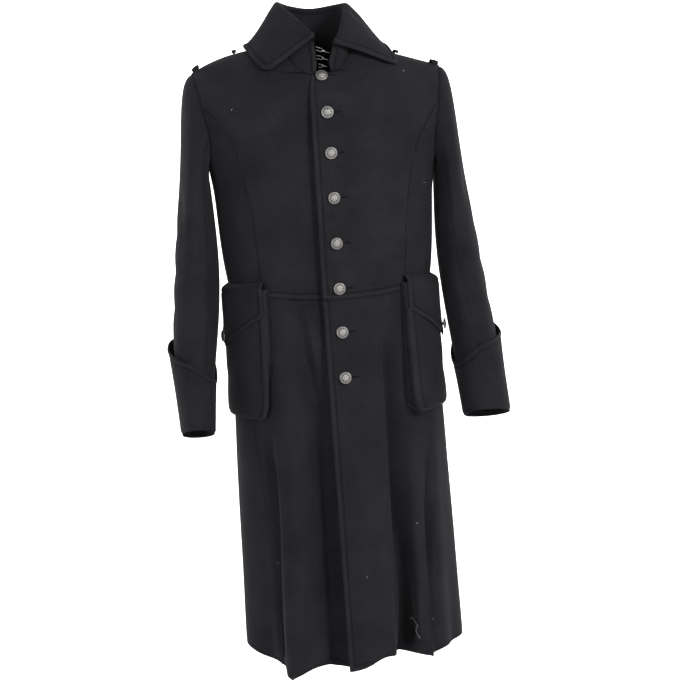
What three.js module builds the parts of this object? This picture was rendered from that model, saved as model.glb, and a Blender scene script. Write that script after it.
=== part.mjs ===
import * as THREE from 'three';

// A long single-breasted overcoat of heavy melton wool, filled out as it is worn.
// Millimetres, +Z up, the front faces -Y, the wearer's left side is +X. The origin is
// level with the neck points of the shoulders, on the middle line of the coat.
// Places on the coat are a turn round it (0 at centre front, positive to +X, pi at
// centre back) and a level, which is the height below the shoulder ridge.

const CLOTH = 2.8; // melton with its pressed edges
const SEAM_HALF = 0.2; // each piece stops this far short of its seam line
const TOUCH = 0.4; // space between a piece and what it lies on
const WAIST = -457; // waist seam at the sides
const WAIST_DIP = 13; // how much lower the waist seam is at centre front
const HEM = -1150;
const LEAN = 0.02; // the coat hangs a little to its own left
const RING_POWER = 2.3; // fullness of the rings round the body
const DOME = 150; // height of the rounding over the shoulders
const DOME_POWER = 2.2;
const ROW_BEND = 1.5; // a panel's rows leave its inner edge level and bend to the outer one
const YOKE = { bottom: -440, height: 290 }; // where the shoulder slope fades out below

// Half width and the depths in front of and behind the middle plane, by height.
const FORM = [
  { h: -1150, half: 206, front: 192, back: 172 },
  { h: -950, half: 204, front: 172, back: 160 },
  { h: -730, half: 200, front: 156, back: 152 },
  { h: -600, half: 195, front: 144, back: 144 },
  { h: -457, half: 192, front: 128, back: 114 },
  { h: -400, half: 201, front: 129, back: 119 },
  { h: -330, half: 204, front: 134, back: 128 },
  { h: -225, half: 208, front: 138, back: 138 },
  { h: -190, half: 214, front: 137, back: 138 },
  { h: -150, half: 229, front: 134, back: 136 },
  { h: -105, half: 244, front: 129, back: 134 },
  { h: -60, half: 256, front: 121, back: 130 },
  { h: 0, half: 262, front: 112, back: 124 },
];
// Height of the shoulder ridge; the right shoulder rides a little higher than the left.
const RIDGE = [
  { x: -262, z: -60 },
  { x: -233, z: -48 },
  { x: -210, z: -34 },
  { x: -180, z: -22 },
  { x: -150, z: -14 },
  { x: -100, z: -5 },
  { x: -66, z: -1 },
  { x: -40, z: 0 },
  { x: 40, z: 0 },
  { x: 66, z: -1.5 },
  { x: 100, z: -11.4 },
  { x: 150, z: -26.4 },
  { x: 233, z: -51.3 },
  { x: 262, z: -60 },
];

// Soft folds of the skirt, in degrees of turn and millimetres in (-) or out (+) at the hem.
const FOLDS = [
  { turn: -32, hemTurn: -31, width: 14, hemWidth: 10, depth: 42, from: -520 },
  { turn: -14, hemTurn: -14, width: 14, hemWidth: 9, depth: -14, from: -520 },
  { turn: -52, hemTurn: -50, width: 12, hemWidth: 9, depth: -14, from: -680 },
  { turn: -76, hemTurn: -74, width: 14, hemWidth: 12, depth: 10, from: -700 },
  { turn: 15, hemTurn: 13, width: 15, hemWidth: 13, depth: -16, from: -520 },
  { turn: 36, hemTurn: 27, width: 26, hemWidth: 12, depth: -74, from: -475 },
  { turn: 49, hemTurn: 47, width: 9, hemWidth: 7, depth: -40, from: -690 },
  { turn: 66, hemTurn: 66, width: 14, hemWidth: 10, depth: -14, from: -700 },
  { turn: 88, hemTurn: 88, width: 30, hemWidth: 22, depth: 12, from: -420 },
  { turn: 116, hemTurn: 116, width: 15, hemWidth: 13, depth: -12, from: -700 },
  { turn: 136, hemTurn: 137, width: 15, hemWidth: 13, depth: 16, from: -540 },
  { turn: 158, hemTurn: 158, width: 14, hemWidth: 12, depth: -14, from: -520 },
  { turn: -108, hemTurn: -107, width: 15, hemWidth: 13, depth: -14, from: -700 },
  { turn: -131, hemTurn: -132, width: 15, hemWidth: 13, depth: 17, from: -540 },
  { turn: -156, hemTurn: -157, width: 14, hemWidth: 12, depth: -12, from: -520 },
];
// Where the hem hangs lower (+) or is drawn up (-).
const HEM_DROPS = [
  { turn: -31, width: 10, drop: 12 },
  { turn: -4, width: 16, drop: 10 },
  { turn: 12, width: 16, drop: -9 },
  { turn: 44, width: 12, drop: 4 },
  { turn: -84, width: 42, drop: -18 },
];

const clamp = (value, low, high) => Math.min(Math.max(value, low), high);
const mix = (a, b, t) => a + (b - a) * t;
const ease = (t) => {
  const u = clamp(t, 0, 1);
  return u * u * (3 - 2 * u);
};
const degrees = (angle) => THREE.MathUtils.degToRad(angle);
const power = (value, exponent) => Math.sign(value) * Math.abs(value) ** exponent;
const bump = (distance) => (Math.abs(distance) < 1 ? (1 + Math.cos(Math.PI * distance)) / 2 : 0);

// One column of a table, read smoothly at a value of its key column.
function read(table, key, column, at) {
  const last = table.length - 1;
  if (at <= table[0][key]) return table[0][column];
  if (at >= table[last][key]) return table[last][column];
  let i = 0;
  while (table[i + 1][key] < at) i += 1;
  const slope = (a, b) => (table[b][column] - table[a][column]) / (table[b][key] - table[a][key]);
  const width = table[i + 1][key] - table[i][key];
  const start = slope(Math.max(i - 1, 0), i + 1) * width;
  const end = slope(i, Math.min(i + 2, last)) * width;
  const t = (at - table[i][key]) / width;
  const a = table[i][column];
  const b = table[i + 1][column];
  return (
    a * (2 * t ** 3 - 3 * t ** 2 + 1) +
    start * (t ** 3 - 2 * t ** 2 + t) +
    b * (3 * t ** 2 - 2 * t ** 3) +
    end * (t ** 3 - t ** 2)
  );
}

const ridge = (x) => read(RIDGE, 'x', 'z', x);
const yoke = (h) => ease((h - YOKE.bottom) / YOKE.height);

// How far the skirt's folds move the cloth out at a place.
function foldDepth(turn, level) {
  let depth = 0;
  for (const fold of FOLDS) {
    const t = clamp((fold.from - level) / (fold.from - HEM), 0, 1);
    const centre = degrees(mix(fold.turn, fold.hemTurn, t));
    const width = degrees(mix(fold.width, fold.hemWidth, t));
    depth += fold.depth * t ** 1.2 * bump((turn - centre) / width);
  }
  return depth;
}

const waistLevel = (turn) => WAIST - WAIST_DIP * Math.exp(-((turn / degrees(38)) ** 2));
function hemLevel(turn) {
  let level = HEM;
  for (const row of HEM_DROPS) level -= row.drop * bump((turn - degrees(row.turn)) / degrees(row.width));
  return level;
}

// The outer face of the coat. A level above 0 goes on over the shoulder ridge.
function coatPoint(turn, level, folded = true) {
  const under = -Math.abs(level);
  const rise = clamp(1 + under / DOME, 0, 1) * (Math.PI / 2);
  const h = under > -DOME ? DOME * (Math.sin(rise) ** (2 / DOME_POWER) - 1) : under;
  const narrowing = Math.cos(rise) ** (2 / DOME_POWER);
  const half = read(FORM, 'h', 'half', h);
  const across = power(Math.sin(turn), 2 / RING_POWER);
  const along = power(Math.cos(turn), 2 / RING_POWER);
  const reach = read(FORM, 'h', along > 0 ? 'front' : 'back', h);
  const out = folded ? foldDepth(turn, level) : 0;
  const normalX = power(across, RING_POWER - 1) / half;
  const normalY = -power(along, RING_POWER - 1) / reach;
  const size = Math.hypot(normalX, normalY) || 1;
  const x = half * across + (out * normalX) / size;
  const y = (-reach * along * narrowing + (out * normalY) / size) * (level > 0 ? -1 : 1);
  const z = h + yoke(h) * ridge(half * across);
  return new THREE.Vector3(x - LEAN * z, y, z);
}

function coatNormal(turn, level, folded = true) {
  const stepTurn = 0.01;
  const stepLevel = 1;
  const round = coatPoint(turn + stepTurn, level, folded).sub(coatPoint(turn - stepTurn, level, folded));
  const up = coatPoint(turn, level + stepLevel, folded).sub(coatPoint(turn, level - stepLevel, folded));
  return round.cross(up).normalize();
}

const lifted = (turn, level, lift, folded = true) =>
  coatPoint(turn, level, folded).addScaledVector(coatNormal(turn, level, folded), lift);

// The turn and level of the place that shows at x, z from the front or from behind.
function onCoat(x, z, back = false) {
  let h = z;
  for (let i = 0; i < 12; i += 1) h = Math.min(0, z - yoke(h) * ridge(x));
  const half = read(FORM, 'h', 'half', h);
  const turn = Math.sign(x) * Math.asin(Math.min(1, Math.abs(x) / half) ** (RING_POWER / 2));
  const rise = Math.asin(clamp((h + DOME) / DOME, 0, 1) ** (DOME_POWER / 2));
  const level = h < -DOME ? h : -DOME + (DOME * rise) / (Math.PI / 2);
  return { turn: back ? Math.PI - turn : turn, level };
}
const RIDGE_SEAM = -0.15; // the level of the shoulder seam's two edges
const onRidge = (x, back = false) => ({ ...onCoat(x, ridge(x), back), level: RIDGE_SEAM });

// A closed wall between two grids of points; a round one joins its last column to its first.
function wall(outer, inner, round = false) {
  const rows = outer.length;
  const columns = outer[0].length;
  const points = [...outer.flat(), ...inner.flat()];
  const layer = rows * columns;
  const index = [];
  const quad = (a, b, c, d) => index.push(a, b, c, a, c, d);
  const at = (r, c, inside) => (inside ? layer : 0) + r * columns + (c % columns);
  const spans = round ? columns : columns - 1;
  for (let r = 0; r < rows - 1; r += 1) {
    for (let c = 0; c < spans; c += 1) {
      quad(at(r, c), at(r, c + 1), at(r + 1, c + 1), at(r + 1, c));
      quad(at(r, c, true), at(r + 1, c, true), at(r + 1, c + 1, true), at(r, c + 1, true));
    }
  }
  for (let c = 0; c < spans; c += 1) {
    quad(at(0, c), at(0, c, true), at(0, c + 1, true), at(0, c + 1));
    quad(at(rows - 1, c), at(rows - 1, c + 1), at(rows - 1, c + 1, true), at(rows - 1, c, true));
  }
  for (let r = 0; r < rows - 1 && !round; r += 1) {
    quad(at(r, 0), at(r + 1, 0), at(r + 1, 0, true), at(r, 0, true));
    quad(at(r, spans), at(r, spans, true), at(r + 1, spans, true), at(r + 1, spans));
  }
  const geometry = new THREE.BufferGeometry().setFromPoints(points);
  let volume = 0;
  for (let i = 0; i < index.length; i += 3) {
    const [a, b, c] = [points[index[i]], points[index[i + 1]], points[index[i + 2]]];
    volume += a.dot(new THREE.Vector3().crossVectors(b, c));
  }
  geometry.setIndex(volume > 0 ? index : index.reverse());
  geometry.computeVertexNormals();
  return geometry;
}

// Each edge point moves towards the piece's middle, so that seams stay open a hair.
function drawIn(points, round = false, bottom = SEAM_HALF, top = SEAM_HALF) {
  const rows = points.length;
  const columns = points[0].length;
  const move = (from, to, distance) => new THREE.Vector3().subVectors(to, from).setLength(distance);
  return points.map((row, r) =>
    row.map((point, c) => {
      const moved = point.clone();
      if (r === 0) moved.add(move(point, points[1][c], bottom));
      if (r === rows - 1) moved.add(move(point, points[rows - 2][c], top));
      if (c === 0 && !round) moved.add(move(point, row[1], SEAM_HALF));
      if (c === columns - 1 && !round) moved.add(move(point, row[columns - 2], SEAM_HALF));
      return moved;
    }),
  );
}

// A panel of the body from a grid of places, each with its own lift off the coat's face.
function bodyPanel(grid, lift = () => 0) {
  const outer = grid.map((row) => row.map((p) => lifted(p.turn, p.level, lift(p))));
  const inner = grid.map((row) => row.map((p) => lifted(p.turn, p.level, lift(p) - CLOTH)));
  return wall(drawIn(outer), drawIn(inner));
}

// Rows of places between an inner and an outer edge, at fractions of the way across;
// a row's guide, if it has one, draws the guide column to a line of its own.
function acrossEdges(edges, fractions, side, guideColumn = 0) {
  const stop = fractions[guideColumn];
  const turnAt = ([inner, outer, guide], f) => {
    if (!guide) return mix(inner.turn, outer.turn, f);
    if (f <= stop) return mix(inner.turn, guide.turn, f / stop);
    return mix(guide.turn, outer.turn, (f - stop) / (1 - stop));
  };
  return edges.map((row, r) =>
    fractions.map((f) => {
      const turn = turnAt(row, f) * side;
      const level = mix(row[0].level, row[1].level, f ** ROW_BEND);
      return { turn, level: r === 0 ? waistLevel(turn) : level };
    }),
  );
}

const meshes = {};
function addPiece(group, name, geometry, material) {
  const mesh = new THREE.Mesh(geometry, material.clone());
  mesh.name = name;
  group.add(mesh);
  meshes[name] = mesh;
}

const melton = new THREE.MeshStandardMaterial({ color: 0x1e1f22, roughness: 0.95, metalness: 0 });
const pewter = new THREE.MeshStandardMaterial({ color: 0x8d8d8c, roughness: 0.4, metalness: 0.9 });
const steelWire = new THREE.MeshStandardMaterial({ color: 0xb9bbbd, roughness: 0.3, metalness: 1 });
const SIDES = [
  { name: 'right', side: -1 },
  { name: 'left', side: 1 },
];
const coat = new THREE.Group();
const body = new THREE.Group();
const skirt = new THREE.Group();
const sleeves = new THREE.Group();
const collar = new THREE.Group();
const pockets = new THREE.Group();
const fastenings = new THREE.Group();
coat.add(body, skirt, sleeves, collar, pockets, fastenings);

// ---- Body above the waist: two fronts, two side panels and two backs ----

// The armhole, from the shoulder tip down the front, under the arm and up the back.
const ARMHOLE = [
  { alpha: 0, place: onRidge(233) },
  { alpha: 20, place: onCoat(230, -62) },
  { alpha: 38, place: onCoat(226, -80) },
  { alpha: 55, place: onCoat(222, -98) },
  { alpha: 73, place: onCoat(219, -121) },
  { alpha: 94, place: onCoat(213, -150) },
  { alpha: 116, place: onCoat(208, -180) },
  { alpha: 138, place: onCoat(207.5, -208) },
  { alpha: 153, place: { turn: degrees(74), level: -180 } },
  { alpha: 167, place: { turn: degrees(85), level: -184 } },
  { alpha: 180, place: { turn: degrees(95), level: -185 } },
  { alpha: 194, place: { turn: degrees(106), level: -180 } },
  { alpha: 216, place: onCoat(209, -208, true) },
  { alpha: 238, place: onCoat(211, -180, true) },
  { alpha: 262, place: onCoat(217, -150, true) },
  { alpha: 284, place: onCoat(222, -121, true) },
  { alpha: 303, place: onCoat(225, -98, true) },
  { alpha: 320, place: onCoat(228, -80, true) },
  { alpha: 340, place: onCoat(231, -62, true) },
];
const armholeAt = (alpha) => ARMHOLE.find((row) => row.alpha === alpha).place;

// The curved seam from the waist up the front to the armhole.
const PRINCESS = [
  onCoat(133, -457),
  onCoat(134.5, -420),
  onCoat(138, -371),
  onCoat(141, -322),
  onCoat(148, -275),
  onCoat(157, -235),
  onCoat(162, -217),
  onCoat(167, -203),
  onCoat(173, -188),
  onCoat(193, -150),
  onCoat(208, -131),
  armholeAt(73),
];

const LAP = 25; // the fronts lap this far past the middle line
const frontEdge = (z) => onCoat(-LAP, z);
const FRONT_EDGES = [
  [frontEdge(-470), PRINCESS[0]],
  [frontEdge(-420), PRINCESS[1]],
  [frontEdge(-371), PRINCESS[2]],
  [frontEdge(-322), PRINCESS[3]],
  [frontEdge(-275), PRINCESS[4]],
  [frontEdge(-233), PRINCESS[5]],
  [frontEdge(-214), PRINCESS[6]],
  [frontEdge(-199), PRINCESS[7]],
  [frontEdge(-184), PRINCESS[8]],
  [frontEdge(-152), PRINCESS[9]],
  [onCoat(-24, -132), PRINCESS[10]],
  [onCoat(-24, -112), armholeAt(73)],
  [onCoat(-23, -90), armholeAt(55)],
  [onCoat(-21, -74), armholeAt(38)],
  [onCoat(-18, -62), armholeAt(20)],
  [onCoat(10, -60), armholeAt(0)],
  [onCoat(34, -52), onRidge(190)],
  [onCoat(52, -34), onRidge(140)],
  [onCoat(63, -16), onRidge(104)],
  [onCoat(67, -6), onRidge(84)],
  [onRidge(69), onRidge(76)],
];
// The under front (the wearer's right) lies behind the top one and falls open below.
const UNDERLAP = { lift: -3.9, startX: -48, fullX: -29, openFrom: -640, open: -27 };
const LAP_LINE_ROWS = 15; // the rows of a front that reach past the lap line
const lapLine = (edges) =>
  edges.map(([inner, outer], r) => {
    const { turn } = onCoat(-UNDERLAP.fullX, inner.level);
    return r < LAP_LINE_ROWS ? [inner, outer, { turn }] : [inner, outer];
  });
function underLift({ turn, level }) {
  const point = coatPoint(turn, level, false);
  const x = point.x + LEAN * point.z;
  const behind = ease((x - UNDERLAP.startX) / (UNDERLAP.fullX - UNDERLAP.startX));
  const low = ease((UNDERLAP.openFrom - level) / (UNDERLAP.openFrom - HEM));
  return UNDERLAP.lift * behind + UNDERLAP.open * low * ease((x + 70) / 95);
}
const FRONT_FRACTIONS = [0, 0.11, 0.22, 0.36, 0.52, 0.68, 0.84, 1];
const LAP_COLUMN = 2;
const SIDE_SEAM = degrees(95);
const SIDE_TIP = 0.88; // how far up its last stretch the side panel runs before it is cut off
const between = (a, b, t) => ({ turn: mix(a.turn, b.turn, t), level: mix(a.level, b.level, t) });
const SIDE_EDGES = [
  [PRINCESS[0], { turn: SIDE_SEAM, level: WAIST }],
  [PRINCESS[1], { turn: SIDE_SEAM, level: -410 }],
  [PRINCESS[2], { turn: SIDE_SEAM, level: -352 }],
  [PRINCESS[3], { turn: SIDE_SEAM, level: -296 }],
  [PRINCESS[4], { turn: SIDE_SEAM, level: -240 }],
  [PRINCESS[5], armholeAt(180)],
  [PRINCESS[6], armholeAt(167)],
  [PRINCESS[7], armholeAt(153)],
  [PRINCESS[8], armholeAt(138)],
  [PRINCESS[9], armholeAt(116)],
  [PRINCESS[10], armholeAt(94)],
  [between(PRINCESS[10], armholeAt(73), SIDE_TIP), between(armholeAt(94), armholeAt(73), SIDE_TIP)],
];
const BACK_EDGES = [
  [onCoat(0, -457, true), { turn: SIDE_SEAM, level: WAIST }],
  [onCoat(0, -410, true), { turn: SIDE_SEAM, level: -410 }],
  [onCoat(0, -352, true), { turn: SIDE_SEAM, level: -352 }],
  [onCoat(0, -296, true), { turn: SIDE_SEAM, level: -296 }],
  [onCoat(0, -250, true), { turn: SIDE_SEAM, level: -240 }],
  [onCoat(0, -212, true), armholeAt(180)],
  [onCoat(0, -195, true), armholeAt(194)],
  [onCoat(0, -178, true), armholeAt(216)],
  [onCoat(0, -152, true), armholeAt(238)],
  [onCoat(0, -126, true), armholeAt(262)],
  [onCoat(0, -100, true), armholeAt(284)],
  [onCoat(0, -76, true), armholeAt(303)],
  [onCoat(0, -54, true), armholeAt(320)],
  [onCoat(0, -34, true), armholeAt(340)],
  [onCoat(0, -20, true), onRidge(233, true)],
  [onCoat(0, -14, true), onRidge(190, true)],
  [onCoat(26, -12.4, true), onRidge(140, true)],
  [onCoat(48, -8.5, true), onRidge(100, true)],
  [onCoat(64, -5, true), onRidge(84, true)],
  [onRidge(69, true), onRidge(76, true)],
];
const BACK_FRACTIONS = [0, 0.17, 0.34, 0.5, 0.66, 0.82, 1];
const SIDE_FRACTIONS = [0, 0.25, 0.5, 0.75, 1];
for (const { name, side } of SIDES) {
  const frontLift = side < 0 ? underLift : undefined;
  const front = acrossEdges(lapLine(FRONT_EDGES), FRONT_FRACTIONS, side, LAP_COLUMN);
  addPiece(body, `front_${name}`, bodyPanel(front, frontLift), melton);
  addPiece(body, `side_${name}`, bodyPanel(acrossEdges(SIDE_EDGES, SIDE_FRACTIONS, side)), melton);
  addPiece(body, `back_${name}`, bodyPanel(acrossEdges(BACK_EDGES, BACK_FRACTIONS, side)), melton);
}

// ---- Skirt: two fronts that lap and two backs, full at the hem ----

// The seam between the front and back skirt panels moves forward as it goes down.
const SKIRT_SEAM = [
  { level: -1150, turn: 43 },
  { level: -950, turn: 46 },
  { level: -800, turn: 50 },
  { level: -700, turn: 56 },
  { level: -457, turn: 58 },
];
const SKIRT_ROWS = [0, 0.09, 0.2, 0.33, 0.47, 0.61, 0.75, 0.88, 1];
const SKIRT_FRONT_COLUMNS = 15;
const SKIRT_BACK_COLUMNS = 16;
function skirtGrid(columns, side, edges) {
  return SKIRT_ROWS.map((down) => {
    const level = mix(WAIST, HEM, down);
    const [from, to] = edges(level);
    return Array.from({ length: columns + 1 }, (_, c) => {
      const turn = mix(from, to, c / columns) * side;
      return { turn, level: mix(waistLevel(turn), hemLevel(turn), down) };
    });
  });
}
const skirtSeam = (level) => degrees(read(SKIRT_SEAM, 'level', 'turn', level));
for (const { name, side } of SIDES) {
  const frontEdges = (level) => [onCoat(-LAP, level).turn, skirtSeam(level)];
  const front = skirtGrid(SKIRT_FRONT_COLUMNS, side, frontEdges);
  const back = skirtGrid(SKIRT_BACK_COLUMNS, side, (level) => [skirtSeam(level), Math.PI]);
  addPiece(skirt, `skirt_front_${name}`, bodyPanel(front, side < 0 ? underLift : undefined), melton);
  addPiece(skirt, `skirt_back_${name}`, bodyPanel(back), melton);
}

// ---- Sleeves: two-piece, set into the armholes with a full head, bent forward ----

// Rings of the sleeve below the armpit. alpha is 0 outside, 90 in front, 180 inside.
const SLEEVE = {
  left: [
    { drop: -704, x: 275, y: -88, wide: 42, deep: 55, pitch: 17 },
    { drop: -645, x: 270.5, y: -67, wide: 42.5, deep: 61, pitch: 17 },
    { drop: -610, x: 268, y: -56, wide: 43, deep: 63, pitch: 16.5 },
    { drop: -520, x: 259.5, y: -30, wide: 43, deep: 68, pitch: 13 },
    { drop: -430, x: 250, y: -12, wide: 41.5, deep: 73, pitch: 8 },
    { drop: -340, x: 244, y: -5, wide: 36.5, deep: 78, pitch: 3 },
    { drop: -260, x: 239.5, y: -2, wide: 27.5, deep: 82, pitch: 1 },
  ],
  right: [
    { drop: -713, x: 270, y: -88, wide: 29, deep: 60, pitch: 17 },
    { drop: -645, x: 269, y: -67, wide: 34, deep: 63, pitch: 17 },
    { drop: -610, x: 268, y: -56, wide: 37, deep: 65, pitch: 16.5 },
    { drop: -520, x: 260, y: -30, wide: 44, deep: 69, pitch: 13 },
    { drop: -430, x: 251, y: -12, wide: 44, deep: 73, pitch: 8 },
    { drop: -340, x: 246, y: -5, wide: 39, deep: 78, pitch: 3 },
    { drop: -260, x: 241, y: -2, wide: 29.5, deep: 82, pitch: 1 },
  ],
};
const SLEEVE_TOP = -260;
const SLEEVE_END = { left: -705, right: -713 };
// How the sleeve leaves the armhole: its angle off the body's face, and how far it
// goes out from the armhole and down towards the arm.
const HEAD = [
  { alpha: 0, rise: 14, out: 105, down: 230 },
  { alpha: 45, rise: 26, out: 95, down: 190 },
  { alpha: 90, rise: 48, out: 70, down: 120 },
  { alpha: 130, rise: 85, out: 40, down: 60 },
  { alpha: 155, rise: 130, out: 26, down: 36 },
  { alpha: 180, rise: 155, out: 20, down: 30 },
  { alpha: 205, rise: 130, out: 26, down: 36 },
  { alpha: 230, rise: 85, out: 40, down: 60 },
  { alpha: 270, rise: 48, out: 70, down: 120 },
  { alpha: 315, rise: 26, out: 95, down: 190 },
  { alpha: 360, rise: 14, out: 105, down: 230 },
];
const FRONT_SEAM = { left: { top: 116, end: 88 }, right: { top: 116, end: 122 } };
const BACK_SEAM = 238;
const ARMHOLE_GAP = 0.6;

function armholePoint(side, alpha) {
  const rows = [...ARMHOLE, { ...ARMHOLE[0], alpha: 360 }];
  let i = 0;
  while (i < rows.length - 2 && rows[i + 1].alpha <= alpha) i += 1;
  const t = (alpha - rows[i].alpha) / (rows[i + 1].alpha - rows[i].alpha);
  const point = (row) => {
    const place = coatPoint(row.place.turn * side, row.place.level, false);
    return place.set(side * (place.x + LEAN * place.z), place.y, place.z);
  };
  const normal = (row) => {
    const away = coatNormal(row.place.turn * side, row.place.level, false);
    return away.setX(side * away.x);
  };
  const along = new THREE.Vector3().subVectors(point(rows[i + 1]), point(rows[i]));
  return {
    point: point(rows[i]).lerp(point(rows[i + 1]), t),
    normal: normal(rows[i]).lerp(normal(rows[i + 1]), t).normalize(),
    along,
  };
}
// The front seam swings round the sleeve as it goes down; the other angles follow it.
function seamTurned(name, alpha, drop) {
  const { top, end } = FRONT_SEAM[name];
  const seam = mix(top, end, ease((SLEEVE_TOP - drop) / (SLEEVE_TOP - SLEEVE_END[name])));
  if (alpha <= top) return (alpha * seam) / top;
  if (alpha <= BACK_SEAM) return mix(seam, BACK_SEAM, (alpha - top) / (BACK_SEAM - top));
  return alpha;
}
function armPoint(name, alpha, drop) {
  const ring = (column) => read(SLEEVE[name], 'drop', column, drop);
  const angle = degrees(seamTurned(name, alpha, drop));
  const pitch = degrees(ring('pitch'));
  const forward = ring('deep') * Math.sin(angle);
  const z = drop + forward * Math.sin(pitch);
  const x = ring('x') + ring('wide') * power(Math.cos(angle), 0.9);
  return new THREE.Vector3(x, ring('y') - forward * Math.cos(pitch), z);
}
// A place on a sleeve, seen as the left one: 0 to 1 down the head, then the drop.
function sleevePoint(name, side, alpha, head, drop) {
  if (head >= 1) return armPoint(name, alpha, drop);
  const { point, normal, along } = armholePoint(side, alpha);
  const outward = new THREE.Vector3().crossVectors(normal, along).normalize();
  const rise = degrees(read(HEAD, 'alpha', 'rise', alpha));
  const leave = outward.multiplyScalar(Math.cos(rise)).addScaledVector(normal, Math.sin(rise));
  const start = point.addScaledVector(leave, ARMHOLE_GAP);
  const end = armPoint(name, alpha, SLEEVE_TOP);
  const arrive = armPoint(name, alpha, SLEEVE_TOP - 10).sub(end).normalize();
  const t = head;
  return new THREE.Vector3()
    .addScaledVector(start, 2 * t ** 3 - 3 * t ** 2 + 1)
    .addScaledVector(leave, (t ** 3 - 2 * t ** 2 + t) * read(HEAD, 'alpha', 'out', alpha))
    .addScaledVector(end, 3 * t ** 2 - 2 * t ** 3)
    .addScaledVector(arrive, (t ** 3 - t ** 2) * read(HEAD, 'alpha', 'down', alpha));
}
const sleeveRings = (name) => [
  { head: 0, drop: SLEEVE_TOP },
  { head: 0.13, drop: SLEEVE_TOP },
  { head: 0.32, drop: SLEEVE_TOP },
  { head: 0.62, drop: SLEEVE_TOP },
  { head: 1, drop: SLEEVE_TOP },
  { head: 1, drop: -340 },
  { head: 1, drop: -430 },
  { head: 1, drop: -520 },
  { head: 1, drop: -610 },
  { head: 1, drop: -660 },
  { head: 1, drop: SLEEVE_END[name] },
];
// Columns of the sleeve at the armhole's points and halfway across its wider spaces.
const WIDE_SPACE = 18;
const SLEEVE_ALPHAS = ARMHOLE.flatMap((row, i) => {
  const next = i + 1 < ARMHOLE.length ? ARMHOLE[i + 1].alpha : 360;
  return next - row.alpha < WIDE_SPACE ? [row.alpha] : [row.alpha, (row.alpha + next) / 2];
});
const TOP_ALPHAS = [
  ...SLEEVE_ALPHAS.filter((alpha) => alpha >= BACK_SEAM),
  ...SLEEVE_ALPHAS.filter((alpha) => alpha <= 116),
];
const UNDER_ALPHAS = SLEEVE_ALPHAS.filter((alpha) => alpha >= 116 && alpha <= BACK_SEAM);

// Normals of a grid of points, from the differences along its rows and columns.
function gridNormals(points, round) {
  const rows = points.length;
  const columns = points[0].length;
  return points.map((row, r) =>
    row.map((_, c) => {
      const left = round ? (c + columns - 1) % columns : Math.max(c - 1, 0);
      const right = round ? (c + 1) % columns : Math.min(c + 1, columns - 1);
      const acrossRow = new THREE.Vector3().subVectors(row[right], row[left]);
      const low = points[Math.max(r - 1, 0)][c];
      const high = points[Math.min(r + 1, rows - 1)][c];
      return acrossRow.cross(new THREE.Vector3().subVectors(high, low)).normalize();
    }),
  );
}
// Both faces of a sleeve as round grids, the outer one first.
function sleeveFaces(name, side, rings) {
  const ringPoint = ({ head, drop }, alpha) => sleevePoint(name, side, alpha, head, drop);
  const middle = rings.map((ring) => SLEEVE_ALPHAS.map((alpha) => ringPoint(ring, alpha)));
  const normals = gridNormals(middle, true);
  const face = (depth) =>
    middle.map((row, r) =>
      row.map((point, c) => {
        const moved = point.clone().addScaledVector(normals[r][c], -depth);
        return new THREE.Vector3(side * moved.x - LEAN * moved.z, moved.y, moved.z);
      }),
    );
  return [face(0), face(CLOTH)];
}
function someColumns(points, alphas) {
  return points.map((row) => alphas.map((alpha) => row[SLEEVE_ALPHAS.indexOf(alpha)]));
}

// The turned-up cuff: how high its slanted edge stands, and how far that edge flares.
const CUFF_EDGE = [
  { alpha: 0, left: -552, right: -556, flare: 7 },
  { alpha: 60, left: -564, right: -572, flare: 3 },
  { alpha: 90, left: -572, right: -582, flare: 1 },
  { alpha: 120, left: -590, right: -600, flare: 1 },
  { alpha: 150, left: -604, right: -612, flare: 1 },
  { alpha: 180, left: -608, right: -614, flare: 1 },
  { alpha: 215, left: -590, right: -592, flare: 3 },
  { alpha: 270, left: -548, right: -552, flare: 8 },
  { alpha: 310, left: -541, right: -545, flare: 10 },
  { alpha: 360, left: -552, right: -556, flare: 7 },
];
const CUFF_LIFT = CLOTH + 2 * TOUCH;
const CUFF_BELOW = 2; // the turned fold hangs a little below the sleeve's end
const CUFF_ROWS = [0, 0.45, 0.8, 1];
for (const { name, side } of SIDES) {
  const [outer, inner] = sleeveFaces(name, side, sleeveRings(name));
  for (const [piece, alphas] of [['top', TOP_ALPHAS], ['under', UNDER_ALPHAS]]) {
    const outside = drawIn(someColumns(outer, alphas), false, 0, 0);
    const inside = drawIn(someColumns(inner, alphas), false, 0, 0);
    addPiece(sleeves, `sleeve_${piece}_${name}`, wall(outside, inside), melton);
  }
  const ringDrop = (alpha, v) => {
    const angle = degrees(seamTurned(name, alpha, -600));
    const tilt = read(SLEEVE[name], 'drop', 'deep', -600) * Math.sin(degrees(16)) * Math.sin(angle);
    const edge = read(CUFF_EDGE, 'alpha', name, THREE.MathUtils.radToDeg(angle)) - tilt;
    return mix(SLEEVE_END[name] - CUFF_BELOW, edge, v);
  };
  const cuffPoint = (v, alpha) => armPoint(name, alpha, ringDrop(alpha, v));
  const middle = CUFF_ROWS.map((v) => SLEEVE_ALPHAS.map((alpha) => cuffPoint(v, alpha)));
  const normals = gridNormals(middle, true).map((row) => row.map((normal) => normal.negate()));
  const face = (depth) =>
    middle.map((row, r) =>
      row.map((point, c) => {
        const flare = read(CUFF_EDGE, 'alpha', 'flare', SLEEVE_ALPHAS[c]) * CUFF_ROWS[r] ** 3;
        const moved = point.clone().addScaledVector(normals[r][c], CUFF_LIFT + flare - depth);
        return new THREE.Vector3(side * moved.x - LEAN * moved.z, moved.y, moved.z);
      }),
    );
  addPiece(sleeves, `cuff_${name}`, wall(face(0), face(CLOTH), true), melton);
}

// ---- Collar: a tall stand and a wide pointed fall that rolls over it ----

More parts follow.
